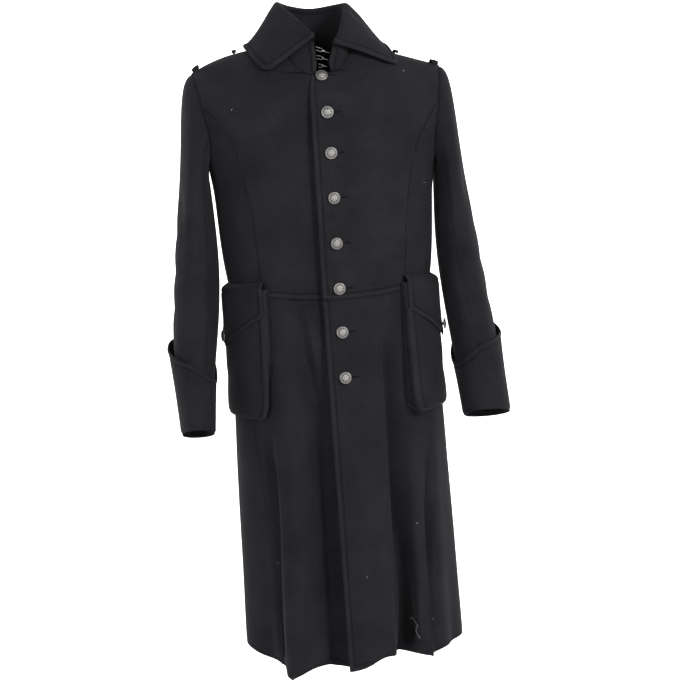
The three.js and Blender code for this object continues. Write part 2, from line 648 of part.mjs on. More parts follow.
// The neckline from a front end (s 5) over the neck point (s 2.4) to centre back (s 0).
const NECKLINE = [
  { s: 5.6, place: onCoat(-18, -62) },
  { s: 5, place: onCoat(10, -60) },
  { s: 4.2, place: onCoat(34, -52) },
  { s: 3.5, place: onCoat(52, -34) },
  { s: 2.9, place: onCoat(63, -16) },
  { s: 2.6, place: onCoat(67, -6) },
  { s: 2.4, place: onRidge(69) },
  { s: 2.2, place: onCoat(64, -5, true) },
  { s: 1.6, place: onCoat(48, -8.5, true) },
  { s: 0.9, place: onCoat(26, -12.4, true) },
  { s: 0, place: onCoat(0, -14, true) },
];
// Stations round the neck, from the right front end to the left one: where the collar
// rolls over, where its edge hangs, and how far the fall swells between them.
const STATIONS = [
  { s: -5.13, rollX: -6, rollY: -76, rollZ: 7, edgeX: -97, edgeY: -96, edgeZ: -53, swell: 2 },
  { s: -4.6, rollX: -20, rollY: -66, rollZ: 24, edgeX: -110, edgeY: -82, edgeZ: -42, swell: 2 },
  { s: -3.6, rollX: -45, rollY: -38, rollZ: 52, edgeX: -126, edgeY: -44, edgeZ: -18, swell: 1 },
  { s: -2.5, rollX: -61, rollY: 4, rollZ: 74, edgeX: -132, edgeY: 2, edgeZ: -4, swell: 0 },
  { s: -1.2, rollX: -42, rollY: 46, rollZ: 70, edgeX: -92, edgeY: 66, edgeZ: -22, swell: 4 },
  { s: 0, rollX: 0, rollY: 62, rollZ: 63, edgeX: 0, edgeY: 100, edgeZ: -38, swell: 5 },
  { s: 1.2, rollX: 42, rollY: 46, rollZ: 68, edgeX: 92, edgeY: 66, edgeZ: -24, swell: 5 },
  { s: 2.5, rollX: 59, rollY: 4, rollZ: 66, edgeX: 130, edgeY: 4, edgeZ: -12, swell: 7 },
  { s: 3.6, rollX: 50, rollY: -38, rollZ: 40, edgeX: 141, edgeY: -36, edgeZ: -28, swell: 8 },
  { s: 4.4, rollX: 40, rollY: -62, rollZ: 12, edgeX: 148, edgeY: -56, edgeZ: -43, swell: 5 },
  { s: 5, rollX: 28, rollY: -73, rollZ: -6, edgeX: 151, edgeY: -70, edgeZ: -53, swell: 3 },
];
const STAND_LIP = 9; // the fall's cloth turns over the roll and ends this far inside
const ROLL_RADIUS = 5;
const COLLAR_CLOTH = 3.2;
const NECK_CENTRE = { x: 3, y: -8 };
const EDGE_REST = { out: 22, rise: 7 }; // the fall lies flatter just above its edge
const COLLAR_ENDS = { right: -5.13, left: 5 };
const FALL_STEPS = [0.25, 0.5, 0.76, 1];
const STAND_BASE = 1; // the stand's foot clears the neckline by this much
const WIDE_SPAN = 0.6; // stations further apart than this get one more between them

// The neckline is joined straight between its points, as the panels' edges are.
function neckPoint(s) {
  const side = s < 0 ? -1 : 1;
  const place = (row) => {
    const turn = row.place.turn * side;
    const lift = side < 0 ? underLift({ turn, level: row.place.level }) : 0;
    return lifted(turn, row.place.level, lift, false);
  };
  let i = 0;
  while (i < NECKLINE.length - 2 && NECKLINE[i + 1].s > Math.abs(s)) i += 1;
  const t = (NECKLINE[i].s - Math.abs(s)) / (NECKLINE[i].s - NECKLINE[i + 1].s);
  return place(NECKLINE[i]).lerp(place(NECKLINE[i + 1]), t);
}
const stationPoint = (s, curve) =>
  new THREE.Vector3(...['X', 'Y', 'Z'].map((axis) => read(STATIONS, 's', curve + axis, s)));
const standUp = (s) => new THREE.Vector3().subVectors(stationPoint(s, 'roll'), neckPoint(s)).normalize();
const standLip = (s) => stationPoint(s, 'roll').addScaledVector(standUp(s), -STAND_LIP);
function standOut(s) {
  const roll = stationPoint(s, 'roll');
  const up = standUp(s);
  const away = new THREE.Vector3(roll.x - NECK_CENTRE.x, roll.y - NECK_CENTRE.y, 0);
  return away.addScaledVector(up, -away.dot(up)).normalize();
}
function standRow(s) {
  const base = neckPoint(s).addScaledVector(standUp(s), STAND_BASE);
  const lip = standLip(s).addScaledVector(standUp(s), -SEAM_HALF);
  return [0, 0.5, 1].map((t) => base.clone().lerp(lip, t));
}
function fallRow(s) {
  const up = standUp(s);
  const out = standOut(s);
  const roll = stationPoint(s, 'roll');
  const edge = stationPoint(s, 'edge');
  const centre = roll.clone().addScaledVector(up, -ROLL_RADIUS).addScaledVector(out, ROLL_RADIUS);
  const row = [standLip(s).addScaledVector(up, SEAM_HALF)];
  for (const angle of [0, 60, 120, 175]) {
    const bend = degrees(angle);
    const point = centre.clone().addScaledVector(out, -ROLL_RADIUS * Math.cos(bend));
    row.push(point.addScaledVector(up, ROLL_RADIUS * Math.sin(bend)));
  }
  const start = row[row.length - 1];
  const along = new THREE.Vector3().subVectors(edge, start);
  const level = new THREE.Vector3(along.x, along.y, 0).normalize();
  const swell = new THREE.Vector3(0, 0, 1).addScaledVector(level, 0.6).normalize();
  const first = start.clone().lerp(edge, 0.33);
  first.addScaledVector(swell, 1.4 * read(STATIONS, 's', 'swell', s));
  const second = edge.clone().addScaledVector(level, -EDGE_REST.out);
  second.z += EDGE_REST.rise;
  const curve = new THREE.CubicBezierCurve3(start, first, second, edge);
  return [...row, ...FALL_STEPS.map((t) => curve.getPoint(t))];
}
{
  const halves = [-1, 1].map((side) => {
    const end = Math.abs(side < 0 ? COLLAR_ENDS.right : COLLAR_ENDS.left);
    const marks = [end, ...NECKLINE.map((row) => row.s).filter((s) => s < end)];
    const wide = (s, i) => i + 1 < marks.length && s - marks[i + 1] > WIDE_SPAN - 0.01;
    const steps = marks.flatMap((s, i) => (wide(s, i) ? [s, (s + marks[i + 1]) / 2] : [s]));
    return side < 0 ? steps.map((s) => -s) : steps.reverse().slice(1);
  });
  const around = halves.flat();
  for (const [piece, row] of [['stand', standRow], ['fall', fallRow]]) {
    const face = around.map(row);
    const normals = gridNormals(face, false);
    const under = face.map((points, r) =>
      points.map((point, c) => point.clone().addScaledVector(normals[r][c], -COLLAR_CLOTH)),
    );
    addPiece(collar, `collar_${piece}`, wall(face, under), melton);
  }
}

// ---- Pockets: large bellows patches on the hips, each under a pointed flap ----

const POCKET = {
  frontTurn: 38,
  width: 205,
  top: -447,
  topFall: 14, // the pocket's mouth and the flap slope down to the side by this much
  bottom: -690,
  corner: 24,
  proudFront: 16,
  proudBack: 10.5,
  gusset: 5, // how far the gusset's foot stands outside the front sheet's edge
};
const FOOT_LIFT = 1.4; // the gusset's foot lies this far off the coat, over its facets
const FLAP = { top: -434, side: 63, point: 120, pointAt: 102.5, footLift: 1.7, fold: 8 };
const ARC_STEP = degrees(0.5);

// The turn that lies a distance round the coat from the pocket's front edge.
function pocketTurn(distance, level) {
  const sign = Math.sign(distance || 1);
  let turn = degrees(POCKET.frontTurn);
  let left = Math.abs(distance);
  let from = coatPoint(turn, level, false);
  while (left > 0) {
    const to = coatPoint(turn + ARC_STEP * sign, level, false);
    const length = from.distanceTo(to);
    turn += ARC_STEP * sign * Math.min(1, left / length);
    left -= length;
    from = to;
  }
  return turn;
}
const proud = (distance) =>
  mix(POCKET.proudFront, POCKET.proudBack, clamp(distance / POCKET.width, 0, 1));
const pocketPlace = (side, distance, level, lift, folded = false) =>
  lifted(pocketTurn(distance, level) * side, level, lift, folded);

// Rows of the pocket up from its bottom, and columns across its front sheet.
const POCKET_ROWS = [0.03, 0.1, 0.24, 0.44, 0.64, 0.84, 1];
const POCKET_COLUMNS = [0, 0.06, 0.17, 0.28, 0.39, 0.5, 0.61, 0.72, 0.83, 0.94, 1];
// How far the rounded bottom corners draw an edge in, at a height above the bottom.
function cornerInset(above) {
  const { corner } = POCKET;
  const down = clamp(corner - above, 0, corner);
  return corner - Math.sqrt(corner ** 2 - down ** 2);
}
// One face of the pocket; depth moves it in from the outer face.
function pocketFace(side, depth) {
  const { width, top, topFall, bottom, gusset, corner } = POCKET;
  const level = (distance, v) => mix(bottom, top - (topFall * distance) / width, v);
  const place = (distance, v, lift, drop = 0) => {
    const over = clamp(distance, 0, width);
    const lowered = level(over, v) - drop;
    return pocketPlace(side, distance, lowered, lift, lift === FOOT_LIFT);
  };
  const rows = POCKET_ROWS.map((v) => {
    const inset = cornerInset(v * (top - bottom)) + depth;
    const [from, to] = [inset, width - inset];
    const sheet = POCKET_COLUMNS.map((f) => {
      const distance = mix(from, to, f);
      return place(distance, v, proud(distance) - depth);
    });
    return [
      place(from - gusset, v, FOOT_LIFT),
      place(from - 1, v, 0.6 * proud(from)),
      ...sheet,
      place(to + 1, v, 0.6 * proud(to)),
      place(to + gusset, v, FOOT_LIFT),
    ];
  });
  // The bottom gusset folds in under the sheet, from its lowest row to the coat.
  const under = (lift, drop) => {
    const reach = width / 2 - corner * 0.8 - depth;
    const spread = [-1.12, -1.05, ...POCKET_COLUMNS.map((f) => 2 * f - 1), 1.05, 1.12];
    return spread.map((f) => {
      const distance = width / 2 + reach * f;
      return place(distance, depth / (top - bottom), lift(distance), drop);
    });
  };
  const foot = under(() => FOOT_LIFT, gusset);
  const shoulder = under((distance) => 0.6 * proud(distance), 1);
  return [foot, shoulder, ...rows];
}
for (const { name, side } of SIDES) {
  addPiece(pockets, `pocket_${name}`, wall(pocketFace(side, 0), pocketFace(side, CLOTH)), melton);
}

const FLAP_FOLD_ROWS = [0, 0.5, 1]; // shares of the fold over the pocket's mouth
const FLAP_FALL_ROWS = [0.3, 0.65, 1]; // shares of the fall below it
function flapDepth(distance) {
  const { side, point, pointAt } = FLAP;
  const reach = distance < pointAt ? pointAt : POCKET.width - pointAt;
  return mix(point, side, Math.abs(distance - pointAt) / reach);
}
const flapLift = (distance, down) => FLAP.footLift + proud(distance) * ease(down / FLAP.fold);
for (const { name, side } of SIDES) {
  const rows = [
    ...FLAP_FOLD_ROWS.map((v) => () => v * FLAP.fold),
    ...FLAP_FALL_ROWS.map((v) => (distance) => mix(FLAP.fold, flapDepth(distance), v)),
  ];
  const places = rows.map((downAt) =>
    POCKET_COLUMNS.map((f) => {
      const distance = f * POCKET.width;
      const down = downAt(distance);
      return { distance, down, level: FLAP.top - POCKET.topFall * f - down };
    }),
  );
  const face = (thick) =>
    places.map((row) =>
      row.map((p) => pocketPlace(side, p.distance, p.level, flapLift(p.distance, p.down) + thick)),
    );
  addPiece(pockets, `flap_${name}`, wall(face(CLOTH), face(0)), melton);
}

// ---- Shoulder loops: a wide and a narrow keeper on each shoulder ----

const LOOPS = [
  { name: 'outer', x: 222, width: 13, reach: 26, foot: -1.5 },
  { name: 'inner', x: 150, width: 7, reach: 22, foot: 0.4 },
];
const LOOP_CLOTH = 2.2;
const LOOP_RISE = 5; // clear height under the loop's middle
const LOOP_STEPS = 10;
for (const loop of LOOPS) {
  for (const { name, side } of SIDES) {
    const face = (thick) =>
      Array.from({ length: LOOP_STEPS + 1 }, (_, i) => {
        const q = mix(-1, 1, i / LOOP_STEPS);
        return [-0.5, 0.5].map((edge) => {
          const x = loop.x + edge * loop.width;
          const { turn } = onCoat(x, ridge(x), q > 0);
          const level = -Math.max(Math.abs(q) * loop.reach, 0.1);
          const lift = loop.foot + (LOOP_RISE - loop.foot) * (1 - Math.abs(q) ** 6) + thick;
          return lifted(turn * side, level, lift, false);
        });
      });
    addPiece(body, `loop_${loop.name}_${name}`, wall(face(LOOP_CLOTH), face(0)), melton);
  }
}

// ---- Fastenings: eight shank buttons down the front, one on each flap, hooks and eyes ----

const BUTTON = { radius: 11, shank: 3, shankHeight: 2, rim: 0.9, height: 4.4 };
const BUTTON_SEGMENTS = 12;
const BUTTON_ABOVE_POINT = 22;
const BUTTONS = [
  { x: 1, z: -65, lift: 0.5 },
  { x: 5, z: -130, lift: 0.5 },
  { x: 6.5, z: -203, lift: 0.5 },
  { x: 7, z: -284, lift: 0.5 },
  { x: 7, z: -367, lift: 0.5 },
  { x: 7, z: -451, lift: 1.3 },
  { x: 6.5, z: -531, lift: 0.5 },
  { x: 6, z: -614, lift: 0.5 },
];
function buttonGeometry() {
  const { radius, shank, shankHeight, rim, height } = BUTTON;
  const profile = [
    [0, 0],
    [shank, 0],
    [shank, shankHeight],
    [radius, shankHeight + rim],
    [radius * 0.68, shankHeight + rim + 2],
    [0, shankHeight + height],
  ];
  const lathe = new THREE.LatheGeometry(profile.map(([r, h]) => new THREE.Vector2(r, h)), BUTTON_SEGMENTS);
  return lathe.rotateX(Math.PI / 2);
}
function placeOn(mesh, point, normal) {
  mesh.position.copy(point);
  mesh.quaternion.setFromUnitVectors(new THREE.Vector3(0, 0, 1), normal);
}
BUTTONS.forEach(({ x, z, lift }, i) => {
  const { turn, level } = onCoat(x, z);
  addPiece(fastenings, `button_${i + 1}`, buttonGeometry(), pewter);
  placeOn(meshes[`button_${i + 1}`], lifted(turn, level, lift), coatNormal(turn, level));
});
for (const { name, side } of SIDES) {
  const distance = FLAP.pointAt;
  const level = FLAP.top - (POCKET.topFall * distance) / POCKET.width - (FLAP.point - BUTTON_ABOVE_POINT);
  const turn = pocketTurn(distance, level) * side;
  const lift = flapLift(distance, FLAP.point) + CLOTH + TOUCH;
  addPiece(fastenings, `flap_button_${name}`, buttonGeometry(), pewter);
  placeOn(meshes[`flap_button_${name}`], lifted(turn, level, lift, false), coatNormal(turn, level, false));
}

// Each pair is a wire eye on the right end of the stand and a hook on the left one.
const WIRE = { radius: 0.75, corners: 3 };
const PAIR_HEIGHTS = [0.3, 0.56, 0.82]; // of the way up the ends of the stand
const WIRE_GAP = 1.15; // the legs end this far short of the stand's edges
const EYE_LEG = 3;
const EYE_LOOP = [
  [-4, 3.2],
  [0, 2.6],
  [1.6, 0],
  [0, -2.6],
  [-4, -3.2],
];
const HOOK_LEG = 1.9;
const HOOK_BEND = [
  [0.8, -1.9],
  [-1.4, -1.2],
  [-1.9, 0],
  [-1.2, 1.4],
  [0.8, 1.9],
  [3.4, 1.9],
];
function wire(points) {
  const section = new THREE.Shape();
  section.absarc(0, 0, WIRE.radius, 0, 2 * Math.PI);
  const path = new THREE.CatmullRomCurve3(points);
  return new THREE.ExtrudeGeometry(section, {
    extrudePath: path,
    steps: points.length + 1,
    curveSegments: WIRE.corners,
    bevelEnabled: false,
  });
}
PAIR_HEIGHTS.forEach((t, i) => {
  const rightEnd = neckPoint(COLLAR_ENDS.right).lerp(standLip(COLLAR_ENDS.right), t);
  const leftEnd = neckPoint(COLLAR_ENDS.left).lerp(standLip(COLLAR_ENDS.left), t);
  const across = new THREE.Vector3().subVectors(leftEnd, rightEnd).normalize();
  const rise = standUp(COLLAR_ENDS.right);
  const inward = new THREE.Vector3().crossVectors(across, rise).normalize();
  if (inward.y < 0) inward.negate();
  const middle = rightEnd.clone().lerp(leftEnd, 0.5).addScaledVector(inward, WIRE.radius + 1.6);
  const reach = rightEnd.distanceTo(leftEnd) / 2 - WIRE_GAP;
  const at = (a, b, direction) => middle.clone().addScaledVector(across, a).addScaledVector(direction, b);
  const eye = [[-reach, EYE_LEG], ...EYE_LOOP, [-reach, -EYE_LEG]];
  const hook = [[reach, -HOOK_LEG], ...HOOK_BEND];
  addPiece(fastenings, `eye_${i + 1}`, wire(eye.map(([a, b]) => at(a, b, rise))), steelWire);
  addPiece(fastenings, `hook_${i + 1}`, wire(hook.map(([a, b]) => at(a, -b, inward))), steelWire);
});

export default coat;
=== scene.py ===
"""Looks for a long single-breasted overcoat of heavy black melton wool. Metres, +Z up,
the front faces -Y and the wearer's left is +X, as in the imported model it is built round."""

import math

import bmesh
import bpy
import numpy as np
from mathutils import Matrix, Vector, noise
from mathutils.bvhtree import BVHTree
from mathutils.kdtree import KDTree


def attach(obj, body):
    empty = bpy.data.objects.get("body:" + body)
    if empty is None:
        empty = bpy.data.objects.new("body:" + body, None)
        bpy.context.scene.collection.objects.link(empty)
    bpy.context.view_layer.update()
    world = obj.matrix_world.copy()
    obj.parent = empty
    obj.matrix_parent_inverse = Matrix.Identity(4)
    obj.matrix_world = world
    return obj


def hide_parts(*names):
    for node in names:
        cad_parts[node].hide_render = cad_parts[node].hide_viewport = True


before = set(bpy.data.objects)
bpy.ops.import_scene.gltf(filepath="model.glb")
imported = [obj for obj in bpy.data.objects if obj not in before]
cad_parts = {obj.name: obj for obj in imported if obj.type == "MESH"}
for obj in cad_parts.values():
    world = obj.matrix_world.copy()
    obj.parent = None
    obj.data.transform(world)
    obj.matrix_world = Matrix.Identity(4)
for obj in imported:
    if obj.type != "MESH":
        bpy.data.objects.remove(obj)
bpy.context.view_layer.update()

# ---- Body above the waist ----
# Two fronts, two side panels and two backs of heavy fulled melton wool, joined by pressed
# seams. The left front laps over the right one, and its edge is turned and topstitched.


class Field:
    """A node's socket that takes part in Python sums."""

    def __init__(self, tree, socket):
        self.tree, self.socket = tree, socket

    def join(self, operation, *values):
        return add_node(self.tree, "ShaderNodeMath", {"operation": operation}, values)

    def __add__(self, other):
        return self.join("ADD", self, other)

    def __sub__(self, other):
        return self.join("SUBTRACT", self, other)

    def __rsub__(self, other):
        return self.join("SUBTRACT", other, self)

    def __mul__(self, other):
        return self.join("MULTIPLY", self, other)

    def __truediv__(self, other):
        return self.join("DIVIDE", self, other)

    __radd__, __rmul__ = __add__, __mul__

    def clamped(self):
        return self.join("MINIMUM", self.join("MAXIMUM", self, 0.0), 1.0)


def fill(tree, node, values):
    """Fills a node's inputs, by number or name, with links from fields or with constants."""
    for key, value in values.items():
        if isinstance(value, Field):
            tree.links.new(value.socket, node.inputs[key])
        else:
            node.inputs[key].default_value = value


def add_node(tree, kind, settings, values, output=0):
    """A node with its settings made first and then its inputs filled, as a field."""
    node = tree.nodes.new(kind)
    for name, value in settings.items():
        setattr(node, name, value)
    fill(tree, node, values if isinstance(values, dict) else dict(enumerate(values)))
    return Field(tree, node.outputs[output])


def new_material(name):
    material = bpy.data.materials.new(name)
    material.use_nodes = True
    tree = material.node_tree
    return material, tree, tree.nodes["Principled BSDF"]


def object_place(tree):
    return add_node(tree, "ShaderNodeTexCoord", {}, {}, "Object")


def object_noise(tree, scale, detail, roughness=0.5, stretch=None):
    place = object_place(tree)
    if stretch:
        place = add_node(tree, "ShaderNodeMapping", {}, {"Vector": place, "Scale": stretch})
    values = {"Vector": place, "Scale": scale, "Detail": detail, "Roughness": roughness}
    return add_node(tree, "ShaderNodeTexNoise", {}, values, "Fac")


def blend(tree, share, dark, light):
    """A colour between two, with the light one at a share of 1."""
    values = {0: share, 6: (*dark, 1), 7: (*light, 1)}
    return add_node(tree, "ShaderNodeMix", {"data_type": "RGBA"}, values, 2)


def bumped(tree, strength, distance, height):
    values = {"Strength": strength, "Distance": distance, "Height": height}
    return add_node(tree, "ShaderNodeBump", {}, values)


def bell(tree, name, centre, width):
    """1 where a stored distance is near a value, and 0 away from it."""
    distance = add_node(tree, "ShaderNodeAttribute", {"attribute_name": name}, {}, "Fac")
    offset = (distance - centre) / width
    return add_node(tree, "ShaderNodeMath", {"operation": "EXPONENT"}, [offset * offset * -1.0])


WOOL_DARK = (0.0021, 0.0021, 0.0027)
WOOL_LIGHT = (0.0150, 0.0150, 0.0170)
NAP_SCALE = 1500  # matted hairs about 0.7 mm apart
HAIR_STRETCH = (0.1, 0.1, 1.0)  # stray hairs lie across the cloth
FLOCK_SCALE = 330  # tufts about 3 mm across
SHADE_SCALE = 16  # uneven pressing and wear, in patches the size of a hand
FLECK_SCALE = 95  # pale neps, at most one in each 10 mm
STITCH_INSET = 0.010  # topstitching runs this far inside the edges
SHADED_WIDTH = 0.0016  # painted shade darkens the cloth this near a seam or a row of stitches
EDGE_HIGHLIGHT_WIDTH = 0.0035  # and a painted highlight lightens it this near an edge, along the rolled welt
FLECK_EDGE = 11.0  # how sharply a fleck ends
FLECK_RARITY = (6.0, 3.3)  # only the densest tufts of flock hold one

wool, tree, surface = new_material("melton_wool")
nap = object_noise(tree, NAP_SCALE, 4, 0.65)
flock = object_noise(tree, FLOCK_SCALE, 5, 0.65)
hairs = object_noise(tree, NAP_SCALE, 2, 0.5, HAIR_STRETCH)
shade = object_noise(tree, SHADE_SCALE, 3, 0.5)
# painted shade in the sunk groove of each row of topstitching
groove = bell(tree, "edge_distance", STITCH_INSET, SHADED_WIDTH)
# a painted highlight along the open and stitched edges
edge_highlight = bell(tree, "edge_distance", EDGE_HIGHLIGHT_WIDTH, EDGE_HIGHLIGHT_WIDTH)
# painted shade along the sunk seams
seam = bell(tree, "seam_distance", 0.0, SHADED_WIDTH)
values = {"Vector": object_place(tree), "Scale": FLECK_SCALE}
fleck = add_node(tree, "ShaderNodeTexVoronoi", {"feature": "F1"}, values, "Distance")
held = (flock * FLECK_RARITY[0] - FLECK_RARITY[1]).clamped()
speck = (1.0 - fleck * FLECK_EDGE).clamped() * held
# What each noise adds to the colour, and then to the relief.
lightness = flock * 0.9 + nap * 0.5 + hairs * 0.45 + shade * 0.55 - 0.82
# painted highlight: the cloth is made lighter along its edges, where the rolled welt would catch
# the light
lightness = (lightness + edge_highlight * 0.13).clamped()
# painted shade: the cloth is darkened in the stitch grooves and along the seams, where shade falls
lightness = lightness * (1.0 - groove * 0.6) * (1.0 - seam * 0.45)
relief = nap * 0.5 + hairs * 0.35 + flock * 0.7 - groove * 1.6 - seam * 1.0
WOOL_LOOK = {
    "Base Color": blend(tree, (lightness + speck * 0.6).clamped(), WOOL_DARK, WOOL_LIGHT),
    "Roughness": (0.86 + nap * 0.12).clamped(),
    "Normal": bumped(tree, 0.6, 0.0007, relief),
    "Specular IOR Level": 0.05,
    "Sheen Weight": 0.019,
    "Sheen Roughness": 0.5,
    "Sheen Tint": (0.78, 0.8, 0.9, 1),
}
fill(tree, surface, WOOL_LOOK)

FINE, PLAIN = 3, 2  # how many times a form is divided to round it
WELD = 2e-5
RIM_ANGLE = math.radians(68)  # a wall's cut edge turns at least this much from its faces
SHARP_TURN = math.cos(math.radians(55))  # and this much once it is rounded
FLAT_ANGLE = math.radians(40)
SKEW_ANGLE = math.radians(150)
CORNER_ANGLE = math.radians(18)
WALL = 0.0034  # no cloth wall is thicker than this
SEWN_WALL = 0.0055  # and no edge that lies aslant is wider
SEAM_REACH = 0.0045  # a rim this close to another piece's rim is sewn to it
SEAM_PULL = 0.006  # how far from a seam the cloth is drawn to it
CORNER_SOFTNESS = 0.55  # how far a square corner is drawn in to the line across it
HEM_LEVEL = -1.08  # below this the edge is a plain turned hem
WRIST_LEVEL = -0.55  # and below this a sleeve's edge is open, inside its cuff
LAP_REACH = 0.035  # the body's only open edges above the hem are this near the middle
SWELL, SWELL_SIZE = 0.0012, 0.16  # the cloth wanders this far from its form, in soft swells

HARDWARE = ("button", "flap_button", "eye", "hook")
CLOTH_NODES = [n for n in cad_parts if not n.startswith(HARDWARE)]
VIEWS = {"front": (0, 1, 0), "back": (0, -1, 0), "left": (-1, 0, 0), "right": (1, 0, 0)}
BODY = ["front_right", "front_left", "side_right", "side_left", "back_right", "back_left"]
SKIRT = ["skirt_front_right", "skirt_front_left", "skirt_back_right", "skirt_back_left"]
SLEEVES = ["sleeve_top_right", "sleeve_under_right", "sleeve_top_left", "sleeve_under_left"]


def tree_of(meshes):
    """One tree of several meshes' faces, to find places on them."""
    points, faces = [], []
    for mesh in meshes:
        start = len(points)
        points += [v.co.copy() for v in mesh.vertices]
        faces += [[start + i for i in p.vertices] for p in mesh.polygons]
    return BVHTree.FromPolygons(points, faces)


def solid_tree(names):
    return tree_of([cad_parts[name].data for name in names])


def rim_tree(names):
    """Only the narrow faces round the edges of some solids."""
    points, faces = [], []
    for name in names:
        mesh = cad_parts[name].data
        for face in mesh.polygons:
            corners = [mesh.vertices[i].co.copy() for i in face.vertices]
            longest = max((corners[i] - corners[i - 1]).length for i in range(len(corners)))
            if 2 * face.area / longest < SEWN_WALL:
                faces.append([len(points) + i for i in range(len(corners))])
                points += corners
    return BVHTree.FromPolygons(points, faces)


def is_rim(face):
    """Whether a face lies across the cut edge of a wall, between two sharp edges."""
    sharp = [e for e in face.edges if e.calc_face_angle(0) > RIM_ANGLE]
    apart = any(not set(a.verts) & set(b.verts) for a in sharp for b in sharp if a != b)
    return apart and face.calc_area() / max(e.calc_length() for e in face.edges) < WALL


def new_object(name, data):
    made = bpy.data.objects.new(name, data)
    bpy.context.scene.collection.objects.link(made)
    return made


def four_sided(node, round_corners=False):
    """A welded copy of a solid, with its squares put together again and its rims kept sharp."""
    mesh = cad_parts[node].data.copy()
    mesh.materials.clear()
    work = bmesh.new()
    work.from_mesh(mesh)
    bmesh.ops.remove_doubles(work, verts=work.verts, dist=WELD)
    bmesh.ops.join_triangles(
        work,
        faces=work.faces,
        angle_face_threshold=FLAT_ANGLE,
        angle_shape_threshold=SKEW_ANGLE,
    )
    crease = work.edges.layers.float.new("crease_edge")
    rims = {face for face in work.faces if is_rim(face)}
    for face in work.faces:
        face.material_index = int(face in rims)
    softened = {}
    for edge in work.edges:
        angle = edge.calc_face_angle(0)
        across = len(rims & set(edge.link_faces)) == 2
        if across and round_corners:
            for corner in edge.verts if angle > RIM_ANGLE / 2 else ():
                beside = [
                    e.other_vert(corner).co
                    for e in corner.link_edges
                    if e != edge and e.calc_face_angle(0) > RIM_ANGLE
                ]
                if len(beside) == 2:
                    softened[corner] = corner.co.lerp((beside[0] + beside[1]) / 2, CORNER_SOFTNESS)
        elif angle > RIM_ANGLE or across and angle > CORNER_ANGLE:
            edge[crease] = 1.0
    for corner, place in softened.items():
        corner.co = place
    work.to_mesh(mesh)
    work.free()
    return new_object(f"{node}_wool", mesh)


def made_plain(piece):
    """Turns what a piece's modifiers give into its own mesh."""
    depsgraph = bpy.context.evaluated_depsgraph_get()
    mesh = bpy.data.meshes.new_from_object(piece.evaluated_get(depsgraph))
    old, piece.data = piece.data, mesh
    piece.modifiers.clear()
    bpy.data.meshes.remove(old)


def smoothed(piece, levels):
    rounding = piece.modifiers.new("rounding", "SUBSURF")
    rounding.levels = rounding.render_levels = levels
    made_plain(piece)


def column(items, name, size=1, kind=np.float32):
    """One property of all of a mesh's vertices, edges, corners or faces."""
    values = np.empty(len(items) * size, kind)
    items.foreach_get(name, values)
    return values.reshape(-1, size) if size > 1 else values


def coordinates(mesh):
    return column(mesh.vertices, "co", 3).astype(float)


def rim_points(mesh):
    """The vertices on the sharp edges of a wall."""
    counts = column(mesh.polygons, "loop_total", 1, np.int32)
    normals = column(mesh.polygons, "normal", 3)
    face_of_loop = np.repeat(np.arange(len(counts)), counts)
    order = np.argsort(column(mesh.loops, "edge_index", 1, np.int32), kind="stable")
    first, second = face_of_loop[order[0::2]], face_of_loop[order[1::2]]
    turn = (normals[first] * normals[second]).sum(1)
    ends = column(mesh.edges, "vertices", 2, np.int32)
    return np.unique(ends[turn < SHARP_TURN])


def face_directions(mesh):
    """The direction of the wall's face at each vertex, leaving the rims out."""
    counts = column(mesh.polygons, "loop_total", 1, np.int32)
    normals = column(mesh.polygons, "normal", 3)
    corners = column(mesh.loops, "vertex_index", 1, np.int32)
    face_of_loop = np.repeat(np.arange(len(counts)), counts)
    faces = column(mesh.polygons, "material_index", 1, np.int32)[face_of_loop] == 0
    total = np.zeros((len(mesh.vertices), 3))
    np.add.at(total, corners[faces], normals[face_of_loop[faces]])
    return total / np.maximum(np.linalg.norm(total, axis=1), 1e-6)[:, None]


def nearest(points, targets, reach):
    """How far each point is from the nearest target, up to a reach, and which target it is."""
    found = np.full(len(points), reach)
    which = np.full(len(points), -1)
    if not len(targets):
        return found, which
    tree = KDTree(len(targets))
    for i, target in enumerate(targets):
        tree.insert(target, i)
    tree.balance()
    low, high = targets.min(0) - reach, targets.max(0) + reach
    for i in np.nonzero(((points > low) & (points < high)).all(1))[0]:
        _, index, gap = tree.find(points[i])
        if gap < reach:
            found[i], which[i] = gap, index
    return found, which


def covered(mesh, material):
    """Gives a mesh its one material and shades it smoothly."""
    mesh.polygons.foreach_set("use_smooth", [True] * len(mesh.polygons))
    mesh.materials.append(material)


def store(mesh, name, values):
    attribute = mesh.attributes.new(name, "FLOAT", "POINT")
    attribute.data.foreach_set("value", values.astype(np.float32))


def wandered(points):
    """Soft uneven swells, the same on both faces of a wall and across its seams."""
    amounts = np.array([noise.noise(Vector(p) / SWELL_SIZE) for p in points])
    away = points * (1, 1, 0)
    away /= np.maximum(np.linalg.norm(away, axis=1), 1e-6)[:, None]
    return points + away * (amounts * SWELL)[:, None]


def fold(view, width, depth, *line, **ways):
    """A soft trough (-) or ridge (+) along a line of (across, height) points as they show from
    a view, in millimetres. It fades at both ends, or only at its start where it runs out."""
    return {"view": view, "width": width, "depth": depth, "line": line, **ways}


